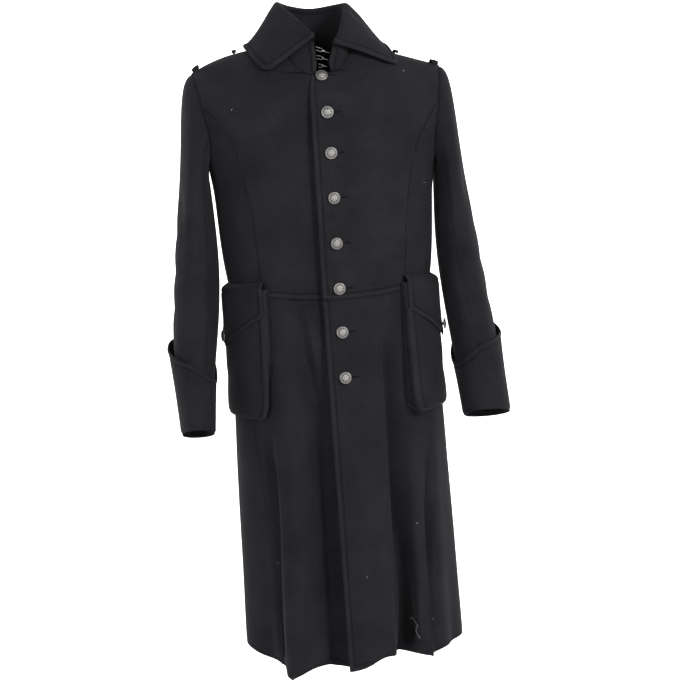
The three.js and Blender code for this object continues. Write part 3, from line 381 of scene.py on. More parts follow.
def creased(node, points, creases, carrier):
    """Moves points by the folds that lie on a node, each laid on the carrier's face."""
    moved = points.copy()
    for row in creases:
        if not node.startswith(row.get("on", "")):
            continue
        look = Vector(VIEWS[row["view"]])
        line, sides = [], []
        for u, z in row["line"]:
            start = Vector((u, 0, z)) if look.x == 0 else Vector((0, u, z))
            place, normal, _, _ = carrier.ray_cast(start / 1000 - look, look)
            if place:
                line.append(np.array(place))
                sides.append(np.array(normal if normal.dot(look) < 0 else -normal))
        if len(line) < 2:
            continue
        width, depth = row["width"] / 1000, row["depth"] / 1000
        low, high = np.min(line, 0) - 3 * width, np.max(line, 0) + 3 * width
        near = np.nonzero(((points > low) & (points < high)).all(1))[0]
        best = np.full(len(near), 1e9)
        along = np.zeros(len(near))
        side = np.zeros((len(near), 3))
        for i in range(len(line) - 1):
            step = line[i + 1] - line[i]
            t = np.clip((points[near] - line[i]) @ step / (step @ step), 0, 1)
            gap = np.linalg.norm(points[near] - line[i] - t[:, None] * step, axis=1)
            closer = gap < best
            best = np.where(closer, gap, best)
            along = np.where(closer, (i + t) / (len(line) - 1), along)
            blended = sides[i] + (sides[i + 1] - sides[i]) * t[:, None]
            side = np.where(closer[:, None], blended, side)
        fade = along if row.get("runs_out") else np.minimum(along, 1 - along)
        ends = np.clip(fade / row.get("taper", 0.5), 0, 1)
        amount = depth * np.sin(np.pi / 2 * ends) * np.exp(-((best / width) ** 2))
        moved[near] += side * amount[:, None]
    return moved


GROOVE_DEPTH, GROOVE_WIDTH = 0.0011, 0.0020
WELT_RISE = 0.0012
SEAM_DEPTH, SEAM_WIDTH = 0.0009, 0.0030
EDGE_ROUND = 0.0009
NECK_REACH = 0.010  # the collar's stand is drawn down to the neckline from this far
FLAT = 0.05  # distances are measured up to here


def finds(tree, points, reach):
    """For each point, the nearest place on a tree within reach, or none."""
    if not tree:
        return [None] * len(points)
    return [tree.find_nearest(p, reach)[0] for p in points]


def edges_of(node, mesh, points, rests, stitched_seams):
    """How far each vertex of a wall is from its open edges, its stitched ones and its seams,
    and how it moves to meet the piece that it is sewn to."""
    rims = points[rim_points(mesh)]
    neck_pieces = BODY if node == "collar_stand" else ["collar_stand"] if node in BODY else []
    neck = rim_tree(neck_pieces) if neck_pieces else None
    others = rim_tree([n for n in CLOTH_NODES if n != node])
    near, far = finds(others, rims, SEAM_REACH), finds(neck, rims, NECK_REACH)
    meets = [a or b for a, b in zip(near, far)]
    pull = np.array([(np.array(m) - p) / 2 if m else (0, 0, 0) for m, p in zip(meets, rims)])
    carried = finds(rests, rims, SEAM_REACH)
    sewn = np.array([bool(m or c) for m, c in zip(meets, carried)])
    lined = np.array([bool(t) for t in finds(stitched_seams, rims, SEAM_REACH)])
    at_lap = abs(rims[:, 0]) < LAP_REACH
    if node in BODY + SKIRT + SLEEVES:
        real = sewn | at_lap | (rims[:, 2] < (WRIST_LEVEL if node in SLEEVES else HEM_LEVEL))
        rims, pull, sewn, lined, at_lap = (a[real] for a in (rims, pull, sewn, lined, at_lap))
    above_hem = (rims[:, 2] > HEM_LEVEL) | at_lap
    bare, _ = nearest(points, rims[~sewn], FLAT)
    edge, _ = nearest(points, rims[(~sewn | lined) & above_hem], FLAT)
    seam, which = nearest(points, rims[sewn], FLAT)
    meeting = np.zeros_like(points)
    if sewn.any():
        share = np.clip(1 - seam / SEAM_PULL, 0, 1) * (which >= 0)
        meeting = pull[sewn][which] * share[:, None]
    return bare, edge, seam, meeting


def dressed(nodes, levels, creases, carrier, cuts, **ways):
    """Makes the wool of some nodes: rounded, creased, and sunk along its seams and stitching."""
    inset, rise = ways.get("inset", STITCH_INSET), ways.get("rise", WELT_RISE)
    made = []
    for node in nodes:
        piece = four_sided(node, ways.get("round_corners", False))
        smoothed(piece, levels)
        mesh = piece.data
        points, normals = coordinates(mesh), column(mesh.vertices, "normal", 3)
        bare, edge, seam, meeting = edges_of(
            node, mesh, points, ways.get("rests"), ways.get("stitched_seams")
        )
        lift = rise * np.sin(np.pi * np.clip(edge / inset, 0, 1))
        lift -= GROOVE_DEPTH * np.exp(-(((edge - inset) / GROOVE_WIDTH) ** 2))
        lift -= SEAM_DEPTH * np.exp(-((seam / SEAM_WIDTH) ** 2))
        for level in ways.get("rows", ()):
            lift -= GROOVE_DEPTH * np.exp(-(((seam - level) / GROOVE_WIDTH) ** 2))
        turned_in = EDGE_ROUND * np.exp(-((bare / EDGE_ROUND) ** 2))
        moved = points + face_directions(mesh) * lift[:, None] - normals * turned_in[:, None]
        moved += meeting
        if "shaped" in ways:
            moved = ways["shaped"](node, points, moved)
        moved = creased(node, wandered(moved), creases, carrier)
        mesh.vertices.foreach_set("co", moved.astype(np.float32).ravel())
        mesh.polygons.foreach_set("material_index", [0] * len(mesh.polygons))
        covered(mesh, wool)
        mesh.update()
        store(mesh, "edge_distance", edge)
        store(mesh, "seam_distance", seam)
        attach(piece, "root")
        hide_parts(node)
        made.append(piece)
    return made


LAP_SLICE = 60  # the lap's edge is found in slices of this half height, in millimetres


def lap_line(offset, top, bottom, count):
    """A line down the coat, this far to the wearer's left of the left front's edge, in
    millimetres."""
    fronts = [coordinates(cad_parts[n].data) for n in ("front_left", "skirt_front_left")]
    points = np.vstack(fronts) * 1000
    points = points[points[:, 1] < 0]
    line = []
    for z in np.linspace(top, bottom, count):
        level = points[abs(points[:, 2] - z) < LAP_SLICE]
        line.append((level[:, 0].min() + offset, z))
    return line


LAP_EDGE = lap_line(-4, -80, -1150, 18)
LAP_WELT = lap_line(4, -80, -1150, 18)
LAP_ROLL = [
    fold("front", width, depth, *line, on=name, taper=0.06, runs_out=True)
    for name, line, width, depth in (
        ("front_right", LAP_EDGE, 15, -7.5),
        ("skirt_front_right", LAP_EDGE, 15, -7.5),
        ("front_left", LAP_WELT, 10, 2.4),
        ("skirt_front_left", LAP_WELT, 10, 2.4),
    )
]

# Width and length of each cut piece in metres, and the share of that oblong that is cloth.
BODY_CUTS = {
    "front": (0.275, 0.47, 0.75),
    "side": (0.145, 0.345, 0.76),
    "back": (0.28, 0.46, 0.92),
}
BODY_CREASES = [
    fold("front", 16, -2.2, (-205, -150), (-160, -196), (-118, -214)),
    fold("front", 18, 1.6, (-190, -205), (-150, -262), (-112, -300)),
    fold("front", 17, -2.0, (196, -140), (160, -190), (120, -212)),
    fold("front", 22, 1.8, (190, -240), (150, -300), (96, -330)),
    fold("front", 26, -1.6, (-100, -120), (-60, -175), (-42, -260)),
    fold("front", 12, -1.5, (60, -330), (100, -338), (150, -326)),
    fold("front", 14, -1.7, (-130, -392), (-80, -408), (-38, -400)),
    fold("front", 13, -1.8, (58, -400), (104, -412), (150, -398)),
    fold("front", 10, 1.2, (-150, -425), (-96, -436), (-45, -431)),
    fold("back", 26, -2.6, (-150, -180), (-110, -260), (-92, -350)),
    fold("back", 24, -2.4, (160, -200), (118, -270), (90, -340)),
    fold("back", 16, -2.4, (-120, -402), (-50, -412), (12, -398)),
    fold("back", 15, -2.0, (20, -414), (80, -424), (140, -408)),
    fold("back", 18, 1.8, (-150, -372), (-70, -384), (0, -370)),
    fold("back", 22, -1.8, (-60, -70), (-110, -110), (-170, -140)),
    fold("back", 22, -1.8, (60, -74), (116, -112), (175, -146)),
]
coat_form = solid_tree(BODY + SKIRT)
body_wool = dressed(
    BODY, FINE, BODY_CREASES + LAP_ROLL, coat_form, BODY_CUTS, stitched_seams=rim_tree(SKIRT)
)

# ---- Skirt ----
# Four long panels hang from the waist seam. The fronts lap, the seams between fronts and
# backs swing forward towards the hem, and deep soft folds open below the pockets.

SKIRT_CUTS = {"skirt_front": (0.215, 0.705, 0.94), "skirt_back": (0.43, 0.70, 0.92)}
SKIRT_CREASES = [
    fold(
        "front", 16, -23, (-72, -452), (-56, -560), (-40, -666), (-36, -839), (-35, -1140),
        on="skirt_front_right", taper=0.4, runs_out=True,
    ),
    fold(
        "front", 21, -24, *lap_line(-8, -560, -1150, 10),
        on="skirt_front_right", taper=0.9, runs_out=True,
    ),
    fold("front", 18, 9, (-92, -600), (-86, -780), (-82, -1130), runs_out=True),
    fold("front", 12, -14, (-126, -700), (-123, -872), (-120, -1120), taper=0.4, runs_out=True),
    fold("front", 26, 6, (52, -560), (60, -800), (66, -1120), runs_out=True),
    fold(
        "front", 16, -25, (99, -480), (107, -632), (110, -849), (115, -1120),
        taper=0.45, runs_out=True,
    ),
    fold("front", 15, 10, (141, -700), (141, -900), (144, -1110), runs_out=True),
    fold("front", 10, -9, (167, -740), (164, -929), (159, -1110), runs_out=True),
    fold("back", 22, -7, (-110, -470), (-128, -700), (-150, -1060)),
    fold("back", 20, 4, (-70, -520), (-90, -760), (-108, -1100)),
    fold("back", 19, -6, (-34, -480), (-46, -720), (-60, -1120)),
    fold("back", 21, -6.5, (46, -480), (62, -700), (74, -1000)),
    fold("back", 18, 4, (86, -540), (102, -780), (118, -1130)),
    fold("back", 22, -6, (120, -475), (142, -690), (166, -1080)),
    fold("left", 18, -5, (60, -700), (70, -860), (84, -1080)),
    fold("right", 18, -5, (70, -700), (64, -880), (60, -1090)),
]
skirt_wool = dressed(SKIRT, FINE, SKIRT_CREASES + LAP_ROLL, coat_form, SKIRT_CUTS)

# ---- Sleeves and cuffs ----
# Two-piece sleeves bend forward at the elbow, with a full rolled head. The deep cuffs are
# turned up and slant to the back, where their topstitched edge stands off the sleeve.

CUFFS = ["cuff_right", "cuff_left"]
SLEEVE_CUTS = {
    "sleeve_top": (0.27, 0.665, 0.76),
    "sleeve_under": (0.17, 0.55, 0.71),
    "cuff": (0.33, 0.18, 0.83),
}
SLEEVE_CREASES = [
    fold("front", 16, -2.6, (-268, -150), (-262, -250), (-266, -340)),
    fold("front", 15, -3.0, (-222, -300), (-246, -352), (-276, -372)),
    fold("front", 13, -2.6, (-226, -392), (-252, -424), (-284, -430)),
    fold("front", 12, 2.0, (-232, -352), (-258, -392), (-286, -402)),
    fold("front", 18, -2.4, (-246, -440), (-262, -520), (-270, -590)),
    fold("front", 16, -2.6, (262, -130), (262, -230), (268, -330)),
    fold("front", 15, -3.0, (234, -300), (258, -350), (288, -366)),
    fold("front", 13, -2.8, (238, -386), (266, -420), (298, -424)),
    fold("front", 12, 2.0, (242, -346), (270, -384), (298, -392)),
    fold("front", 13, -4.5, (244, -390), (250, -439), (272, -520), (292, -600)),
    fold("right", 18, -3.0, (52, -260), (10, -330), (-40, -372)),
    fold("right", 16, -3.2, (48, -340), (2, -408), (-60, -436)),
    fold("right", 16, -2.6, (30, -430), (-24, -482), (-76, -500)),
    fold("left", 18, -3.0, (54, -250), (8, -322), (-44, -362)),
    fold("left", 16, -3.2, (46, -345), (-4, -404), (-62, -430)),
    fold("left", 16, -2.6, (28, -440), (-26, -478), (-80, -506)),
]
CUFF_CREASES = [
    fold("front", 14, -1.6, (-262, -600), (-256, -660), (-262, -705)),
    fold("front", 11, -2.6, (294, -600), (301, -640), (309, -695)),
]
sleeve_form = solid_tree(SLEEVES + CUFFS)
dressed(SLEEVES, FINE, SLEEVE_CREASES, sleeve_form, SLEEVE_CUTS)
cuff_wool = dressed(CUFFS, FINE, CUFF_CREASES, sleeve_form, SLEEVE_CUTS)

# ---- Collar ----
# A tall stand is sewn to the neck, and the wide fall rolls over it and hangs in two long
# points. Its edge is thick and topstitched, and it buckles a little over the left shoulder.

COLLAR = ["collar_stand", "collar_fall"]
COLLAR_CUTS = {"collar_stand": (0.38, 0.085, 0.8), "collar_fall": (0.56, 0.14, 0.76)}
COLLAR_CREASES = [
    fold("front", 9, -2.6, (66, 62), (86, 34), (112, 26)),
    fold("front", 12, 1.8, (74, 40), (92, 12), (104, -12)),
    fold("front", 13, -1.5, (-58, 66), (-72, 40), (-70, 12)),
    fold("front", 10, 1.0, (-40, 16), (-58, -6), (-78, -24)),
    fold("back", 14, -1.8, (-60, 40), (-76, 14), (-80, -10)),
    fold("back", 15, -1.6, (40, 44), (52, 14), (56, -20)),
]
collar_form = solid_tree(["collar_fall"])
collar_wool = dressed(
    COLLAR, FINE, COLLAR_CREASES, collar_form, COLLAR_CUTS, round_corners=True
)

# ---- Pockets and flaps ----
# Each hip has a large bellows patch with a folded gusset, under a flap that comes to a
# point and buttons down. Edges are topstitched all round.

POCKETS = ["pocket_right", "pocket_left", "flap_right", "flap_left"]
POCKET_CUTS = {"pocket": (0.245, 0.27, 0.84), "flap": (0.205, 0.13, 0.77)}
POCKET_CREASES = [
    fold("front", 14, -1.6, (-150, -575), (-146, -620), (-154, -670)),
    fold("right", 16, -1.2, (-60, -500), (-20, -520), (20, -508)),
    fold("right", 18, -2.0, (-70, -600), (-20, -628), (30, -612)),
    fold("left", 18, -2.0, (-70, -604), (-24, -622), (30, -616)),
    fold("front", 12, -1.4, (186, -560), (180, -610), (184, -660)),
]
pocket_form = solid_tree(POCKETS)
# The gusset folds in under the front sheet: it is drawn in by this much where it meets the
# coat, and is out at the sheet's edge at this share of the pocket's depth.
TUCK, TUCK_TOP = 0.010, 0.7
GUSSET_REACH = 0.010  # the gusset stands within this much of the pocket's outline
POCKET_DEPTHS = (0.016, 0.0105)  # at the front and back edges


def tucked(node, points, moved):
    if not node.startswith("pocket"):
        return moved
    found = [coat_form.find_nearest(p) for p in points]
    away = np.array([distance for *_, distance in found])
    out = np.array([normal for _, normal, _, _ in found]) * (1, 1, 0)
    out /= np.linalg.norm(out, axis=1)[:, None]
    back = np.stack([-out[:, 1], out[:, 0], np.zeros(len(out))], axis=1)
    back *= np.sign(back[:, 1:2])
    chord = points[points[:, 1].argmax()] - points[points[:, 1].argmin()]
    along = (points - points.min(0)) @ (chord * (1, 1, 0) / np.linalg.norm(chord[:2]))
    along = (along - along.min()) / (along.max() - along.min())
    width = np.linalg.norm(chord[:2])
    depth = POCKET_DEPTHS[0] + (POCKET_DEPTHS[1] - POCKET_DEPTHS[0]) * along
    height = np.clip(away / depth / TUCK_TOP, 0, 1)
    inward = TUCK * np.sqrt(1 - height**2)
    side_gap = np.minimum(along, 1 - along) * width
    foot_gap = points[:, 2] - points[:, 2].min()
    sideways = (side_gap < GUSSET_REACH) & (side_gap < foot_gap)
    upward = (foot_gap < GUSSET_REACH) & ~sideways
    moved = moved + back * (np.where(along < 0.5, 1, -1) * inward * sideways)[:, None]
    moved[:, 2] += inward * upward
    return moved


FLAP_ROW = 0.021  # a row of stitching this far round from the flap's foot
pocket_wool = dressed(
    POCKETS[:2], FINE, POCKET_CREASES, pocket_form, POCKET_CUTS, rests=coat_form, shaped=tucked
)
flap_wool = dressed(
    POCKETS[2:], FINE, POCKET_CREASES, pocket_form, POCKET_CUTS, rests=coat_form, rows=[FLAP_ROW]
)

# ---- Shoulder loops ----
# Flat keepers of folded cloth, a broad one at the tip of each shoulder and a narrow one
# nearer the neck, are sewn down at their ends.

LOOPS = ["loop_outer_right", "loop_outer_left", "loop_inner_right", "loop_inner_left"]
LOOP_CUTS = {"loop_outer": (0.013, 0.056, 1.0), "loop_inner": (0.01, 0.057, 0.7)}
LOOP_INSET = 0.0022
UNSHADED = 1.0  # farther than any seam or edge, so that the loops get no painted shade or painted highlight and stay one even colour
loop_wool = dressed(
    LOOPS, PLAIN, [], coat_form, LOOP_CUTS, inset=LOOP_INSET, rise=0, round_corners=True
)
for piece in loop_wool:
    for name in ("seam_distance", "edge_distance"):
        even = [UNSHADED] * len(piece.data.vertices)
        piece.data.attributes[name].data.foreach_set("value", even)

# ---- Topstitching ----
# A heavy black thread runs along every turned edge, sunk in the nap, in stitches of about
# three millimetres. One more row holds down the waist seam, just above it.

STITCH_LENGTH = 0.0031
STITCH_PITCH = 0.0042
THREAD_RADIUS = 0.00036
STITCH_SIDES, STITCH_RINGS = 5, 4
STITCH_LEAST, STITCH_MOST = 0.88, 1.1  # shares of the usual size
THREAD_DARK, THREAD_LIGHT = (0.0008, 0.0008, 0.001), (0.004, 0.004, 0.0045)
TWIST_SCALE = 2600  # the thread's plies are about 0.4 mm apart

thread, tree, surface = new_material("black_thread")
twist = object_noise(tree, TWIST_SCALE, 2, 0.5)
THREAD_LOOK = {
    "Base Color": blend(tree, twist, THREAD_DARK, THREAD_LIGHT),
    "Roughness": (0.6 + twist * 0.3).clamped(),
    "Specular IOR Level": 0.08,
}
fill(tree, surface, THREAD_LOOK)


def stitch_tree():
    """Short rounded stitches laid end to end along the edges of a line mesh."""
    tree = bpy.data.node_groups.new("stitch_row", "GeometryNodeTree")
    for name, kind, value in (
        ("Line", "NodeSocketGeometry", None),
        ("Pitch", "NodeSocketFloat", STITCH_PITCH),
        ("Stitch length", "NodeSocketFloat", STITCH_LENGTH),
        ("Thread radius", "NodeSocketFloat", THREAD_RADIUS),
        ("Seed", "NodeSocketInt", 3),
        ("Thread", "NodeSocketMaterial", None),
    ):
        socket = tree.interface.new_socket(name, in_out="INPUT", socket_type=kind)
        if value is not None:
            socket.default_value = value
    tree.interface.new_socket("Stitches", in_out="OUTPUT", socket_type="NodeSocketGeometry")
    given = {s.name: Field(tree, s) for s in tree.nodes.new("NodeGroupInput").outputs}
    curve = add_node(tree, "GeometryNodeMeshToCurve", {}, {"Mesh": given["Line"]})
    values = {"Curve": curve, "Length": given["Pitch"]}
    spaced = add_node(tree, "GeometryNodeResampleCurve", {"mode": "LENGTH"}, values)
    values = {"Vector": add_node(tree, "GeometryNodeInputTangent", {}, {})}
    facing = add_node(tree, "FunctionNodeAlignRotationToVector", {"axis": "Z"}, values)
    values = {"Segments": STITCH_SIDES, "Rings": STITCH_RINGS, "Radius": 1.0}
    ball = add_node(tree, "GeometryNodeMeshUVSphere", {}, values)
    radius, half_length = given["Thread radius"], given["Stitch length"] * 0.5
    size = add_node(tree, "ShaderNodeCombineXYZ", {}, [radius, radius, half_length])
    values = {2: STITCH_LEAST, 3: STITCH_MOST, "Seed": given["Seed"]}
    uneven = add_node(tree, "FunctionNodeRandomValue", {"data_type": "FLOAT"}, values, 1)
    values = {0: size, "Scale": uneven}
    scaled = add_node(tree, "ShaderNodeVectorMath", {"operation": "SCALE"}, values)
    values = {"Points": spaced, "Instance": ball, "Rotation": facing, "Scale": scaled}
    laid = add_node(tree, "GeometryNodeInstanceOnPoints", {}, values)
    real = add_node(tree, "GeometryNodeRealizeInstances", {}, {"Geometry": laid})
    smooth = add_node(tree, "GeometryNodeSetShadeSmooth", {}, {"Geometry": real})
    values = {"Geometry": smooth, "Material": given["Thread"]}
    finished = add_node(tree, "GeometryNodeSetMaterial", {}, values)
    fill(tree, tree.nodes.new("NodeGroupOutput"), {0: finished})
    return tree


STITCHES = stitch_tree()


def grown(name, tree, points, edges, inputs):
    """Runs a tree on a line mesh and leaves its result as one plain piece."""
    line = bpy.data.meshes.new(name)
    line.from_pydata([tuple(p) for p in points], [tuple(int(i) for i in e) for e in edges], [])
    piece = new_object(name, line)
    growth = piece.modifiers.new("growth", "NODES")
    growth.node_group = tree
    names = {s.name: s.identifier for s in tree.interface.items_tree if s.in_out == "INPUT"}
    for key, value in inputs.items():
        growth[names[key]] = value
    made_plain(piece)
    return piece


def level_line(piece, attribute, level):
    """The line on a piece's outer face where a stored distance has one value."""
    mesh = piece.data
    mesh.calc_loop_triangles()
    values = column(mesh.attributes[attribute].data, "value")
    corners = column(mesh.loop_triangles, "vertices", 3, np.int32)
    points = coordinates(mesh)
    above = values[corners] > level
    mixed = above.any(1) & ~above.all(1)
    found, index, edges = [], {}, []
    for corner in corners[mixed]:
        start, second, third = points[corner]
        middle, normal = points[corner].mean(0), np.cross(second - start, third - start)
        if normal[:2] @ middle[:2] <= 0:
            continue
        ends = []
        for a, b in ((0, 1), (1, 2), (2, 0)):
            i, j = sorted((int(corner[a]), int(corner[b])))
            if (values[i] > level) != (values[j] > level):
                if (i, j) not in index:
                    t = (level - values[i]) / (values[j] - values[i])
                    index[i, j] = len(found)
                    found.append(points[i] + (points[j] - points[i]) * t)
                ends.append(index[i, j])
        if len(ends) == 2:
            edges.append(ends)
    return found, edges


def stitched(piece, level=STITCH_INSET, attribute="edge_distance", name="stitches"):
    points, edges = level_line(piece, attribute, level)
    if not edges:
        return
    sizes = {"Pitch": STITCH_PITCH, "Stitch length": STITCH_LENGTH, "Thread radius": THREAD_RADIUS}
    row_name = piece.name.replace("_wool", "") + "_" + name
    row = grown(row_name, STITCHES, points, edges, {**sizes, "Seed": 3, "Thread": thread})
    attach(row, "root")


edged = body_wool[:2] + skirt_wool[:2] + cuff_wool + collar_wool[1:] + pocket_wool + flap_wool
for piece in edged + body_wool[2:]:
    stitched(piece)
for piece in flap_wool:
    stitched(piece, FLAP_ROW, "seam_distance", "top_row")

# ---- Buttons ----
# Cast pewter domes with a rolled rim, a beaded ring and a plain rosette raised in the
# middle, dark in the hollows and rubbed bright on top. Each has a shank behind.

BUTTON_RADIUS = 0.011
BUTTON_RINGS = 22
BUTTON_SPOKES = 96
BUTTON_TURN = 0.4  # each button is sewn on turned this much from the one before, in radians
BEADS = 32
PETALS = 8
# Shares of the radius: the dome's height at its rim, how much it swells to the middle, and
# how high the relief and the middle stand on it.
DOME_FOOT, DOME_SWELL, RELIEF_RISE, BOSS_RISE = 0.33, 0.24, 0.075, 0.07
# Radius and width of the rolled rim, the beaded ring and the furrow round the middle.
RIM, BEADED_RING, FURROW = (0.93, 0.055), (0.79, 0.035), (0.27, 0.045)
ROSETTE_REACH, PETAL_REACH, PETAL_EDGE = 0.42, 0.2, 0.03
# Radius, height and shine of the shank's foot, its root, the back's edge and the rim.
BACK_ROWS = [(0.26, -0.34, 0), (0.28, 0.12, 0), (0.9, 0.24, 0), (1.0, 0.30, 0.6)]
PEWTER_DARK, PEWTER_LIGHT = (0.055, 0.053, 0.050), (0.215, 0.208, 0.198)
GRAIN_SCALE, STAIN_SCALE = 1400, 320  # the cast skin's grain and the patches of tarnish

pewter, tree, surface = new_material("antique_pewter")
height = add_node(tree, "ShaderNodeAttribute", {"attribute_name": "relief"}, {}, "Fac")
grain = object_noise(tree, GRAIN_SCALE, 5, 0.6)
stain = object_noise(tree, STAIN_SCALE, 3, 0.5)
worn = (height * 0.95 + 0.1 + (grain - 0.5) * 0.5 + (stain - 0.5) * 0.5).clamped()
PEWTER_LOOK = {
    "Base Color": blend(tree, worn, PEWTER_DARK, PEWTER_LIGHT),
    "Roughness": (0.62 - worn * 0.32 + grain * 0.1).clamped(),
    "Metallic": 0.95,
    "Normal": bumped(tree, 0.4, 0.0001, grain),
}
fill(tree, surface, PEWTER_LOOK)


def hill(value, middle, width):
    return math.exp(-(((value - middle) / width) ** 2))


def button_relief(r, angle):
    """Height of the face over its dome, from 0 to 1, at a share of the radius and an angle."""
    ring = hill(r, *BEADED_RING) * (0.55 + 0.45 * math.cos(BEADS * angle))
    petal = math.cos(PETALS * angle / 2) ** 2
    edge = math.exp((r - ROSETTE_REACH - PETAL_REACH * petal) / PETAL_EDGE)
    rosette = (0.62 + 0.2 * petal) / (1 + edge)
    middle = max(0.0, rosette - 0.5 * hill(r, *FURROW))
    return min(1.0, hill(r, *RIM) + ring * 0.8 + middle)


def ring_faces(rings, around):
    """Four-sided faces between rings of points that follow one another."""
    faces = []
    for i in range(rings - 1):
        for k in range(around):
            a, b = i * around + k, i * around + (k + 1) % around
            faces.append((a, b, b + around, a + around))
    return faces


def button_shape():
    """Points, faces and relief of one button: its back lies on z = 0 and its face looks up."""
    angles = [2 * math.pi * k / BUTTON_SPOKES for k in range(BUTTON_SPOKES)]
    rings = [(radius, [(z, shine)] * BUTTON_SPOKES) for radius, z, shine in BACK_ROWS]
    for i in range(BUTTON_RINGS):
        radius = 1.0 - (i + 1) / (BUTTON_RINGS + 1)
        dome = DOME_FOOT + DOME_SWELL * (1 - radius**2)
        raised = [button_relief(radius, angle) for angle in angles]
        rings.append((radius, [(dome + RELIEF_RISE * r, r) for r in raised]))
    points, relief = [], []
    for radius, row in rings:
        for angle, (z, shine) in zip(angles, row):
            points.append((radius * math.cos(angle), radius * math.sin(angle), z))
            relief.append(shine)
    faces = ring_faces(len(rings), BUTTON_SPOKES)
    faces.append(tuple(reversed(range(BUTTON_SPOKES))))
    top = len(points)
    points.append((0, 0, DOME_FOOT + DOME_SWELL + BOSS_RISE))
    relief.append(1.0)
    last = top - BUTTON_SPOKES
    faces += [(last + k, last + (k + 1) % BUTTON_SPOKES, top) for k in range(BUTTON_SPOKES)]
    return points, faces, np.array(relief)


button_points, button_faces, shine = button_shape()
BUTTONS = [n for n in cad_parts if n.startswith(("button", "flap_button"))]
for number, node in enumerate(sorted(BUTTONS)):
    solid = coordinates(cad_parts[node].data)
    centre = (solid.min(0) + solid.max(0)) / 2
    _, _, axes = np.linalg.svd(np.unique(solid.round(6), axis=0) - solid.mean(0))
    axis = axes[2] if axes[2] @ (centre * (1, 1, 0)) > 0 else -axes[2]
    back = min((solid - centre) @ axis)
    turn = Vector((0, 0, 1)).rotation_difference(Vector(axis)).to_matrix()
    turn = turn @ Matrix.Rotation(BUTTON_TURN * number, 3, "Z")
    seat = Vector(centre + axis * back)
    mesh = bpy.data.meshes.new(f"{node}_pewter")
    placed = [seat + turn @ (Vector(p) * BUTTON_RADIUS) for p in button_points]
    mesh.from_pydata(placed, [], button_faces)
    store(mesh, "relief", shine)
    covered(mesh, pewter)
    piece = new_object(f"{node}_pewter", mesh)
    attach(piece, "root")
    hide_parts(node)

# ---- Buttonholes ----
# Each front button is passed through a slot worked in close black stitches, which shows as a
# short dark bar on the side of the button away from the edge.

HOLE_START, HOLE_END = 0.0125, 0.0255  # measured from the button's middle
HOLE_POINT = 0.001  # the slot's far end comes to a point of this length
HOLE_HALF_WIDTH = 0.0012
HOLE_PROUD = 0.0001
HOLE_STITCH = {
    "Pitch": 0.0007, "Stitch length": 0.0019, "Thread radius": 0.00062, "Seed": 5, "Thread": thread,
}
HOLE_OUTLINE = [
    (HOLE_START, -1), (HOLE_END, -1), (HOLE_END + HOLE_POINT, 0), (HOLE_END, 1), (HOLE_START, 1),
    (HOLE_START, 0), (HOLE_END, 0),
]


def laid(tree, spots, proud):
    """Where spots (across, height) lie on the front of some cloth, standing this proud."""
    found = []
    for x, z in spots:
        place, normal, _, _ = tree.ray_cast(Vector((x, -1, z)), Vector((0, 1, 0)))
        found.append(place + normal * (proud if normal.y < 0 else -proud))
    return found


left_front = tree_of([body_wool[1].data, skirt_wool[1].data])
for node in sorted(n for n in BUTTONS if n.startswith("button")):
    solid = coordinates(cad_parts[node].data)
    x, _, z = (solid.min(0) + solid.max(0)) / 2
    spots = [(x + along, z + side * HOLE_HALF_WIDTH) for along, side in HOLE_OUTLINE]
    edges = [(i, i + 1) for i in range(len(spots) - 1)]
    slot = grown(f"{node}_hole", STITCHES, laid(left_front, spots, HOLE_PROUD), edges, HOLE_STITCH)
    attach(slot, "root")

# ---- Lint ----
# One curled end of pale thread clings near the left hem, and a few short pale fibres
# elsewhere on the front.

LINT_CURL = [
    (0.1270, -1.0930), (0.1300, -1.0905), (0.1335, -1.0915), (0.1350, -1.0950), (0.1338, -1.1000),
    (0.1325, -1.1050), (0.1335, -1.1100), (0.1365, -1.1140), (0.1378, -1.1175),
]
# Across, height and lean of each short fibre.
LINT_SPOTS = [
    (-0.121, -0.959, 2.2), (0.143, -0.901, 0.4), (0.167, -1.089, 0.9), (0.158, -0.061, 2.6),
    (0.187, -0.267, 2.9), (-0.163, -0.118, 1.2), (0.040, -0.985, 1.9),
]
LINT_LENGTH = 0.0024
LINT_PROUD = 0.0005
FUZZ_SCALE = 1800

lint, tree, surface = new_material("pale_lint")
fuzz = object_noise(tree, FUZZ_SCALE, 3, 0.6)
LINT_LOOK = {
    "Base Color": blend(tree, fuzz, (0.14, 0.14, 0.145), (0.5, 0.49, 0.48)),
    "Roughness": 0.9,
}
fill(tree, surface, LINT_LOOK)
LINT_FIBRE = {
    "Pitch": 0.0006, "Stitch length": 0.0014, "Thread radius": 0.00026, "Seed": 8, "Thread": lint,
}
outer_wool = tree_of([piece.data for piece in body_wool[:4] + skirt_wool])
spots, edges = list(LINT_CURL), [(i, i + 1) for i in range(len(LINT_CURL) - 1)]
for x, z, lean in LINT_SPOTS:
    reach = Vector((math.cos(lean), math.sin(lean))) * LINT_LENGTH / 2
    edges.append((len(spots), len(spots) + 1))
    spots += [(x - reach.x, z - reach.y), (x + reach.x, z + reach.y)]
fibres = grown("lint", STITCHES, laid(outer_wool, spots, LINT_PROUD), edges, LINT_FIBRE)
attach(fibres, "root")

# ---- Hooks and eyes ----
# Three pairs bent from bright wire close the stand at the neck: an eye on the right end
# and a hook on the left one.

WIRE_SLIMMING = 0.00028  # the wire is this much thinner all round than its solid
SCRATCH_SCALE = 900

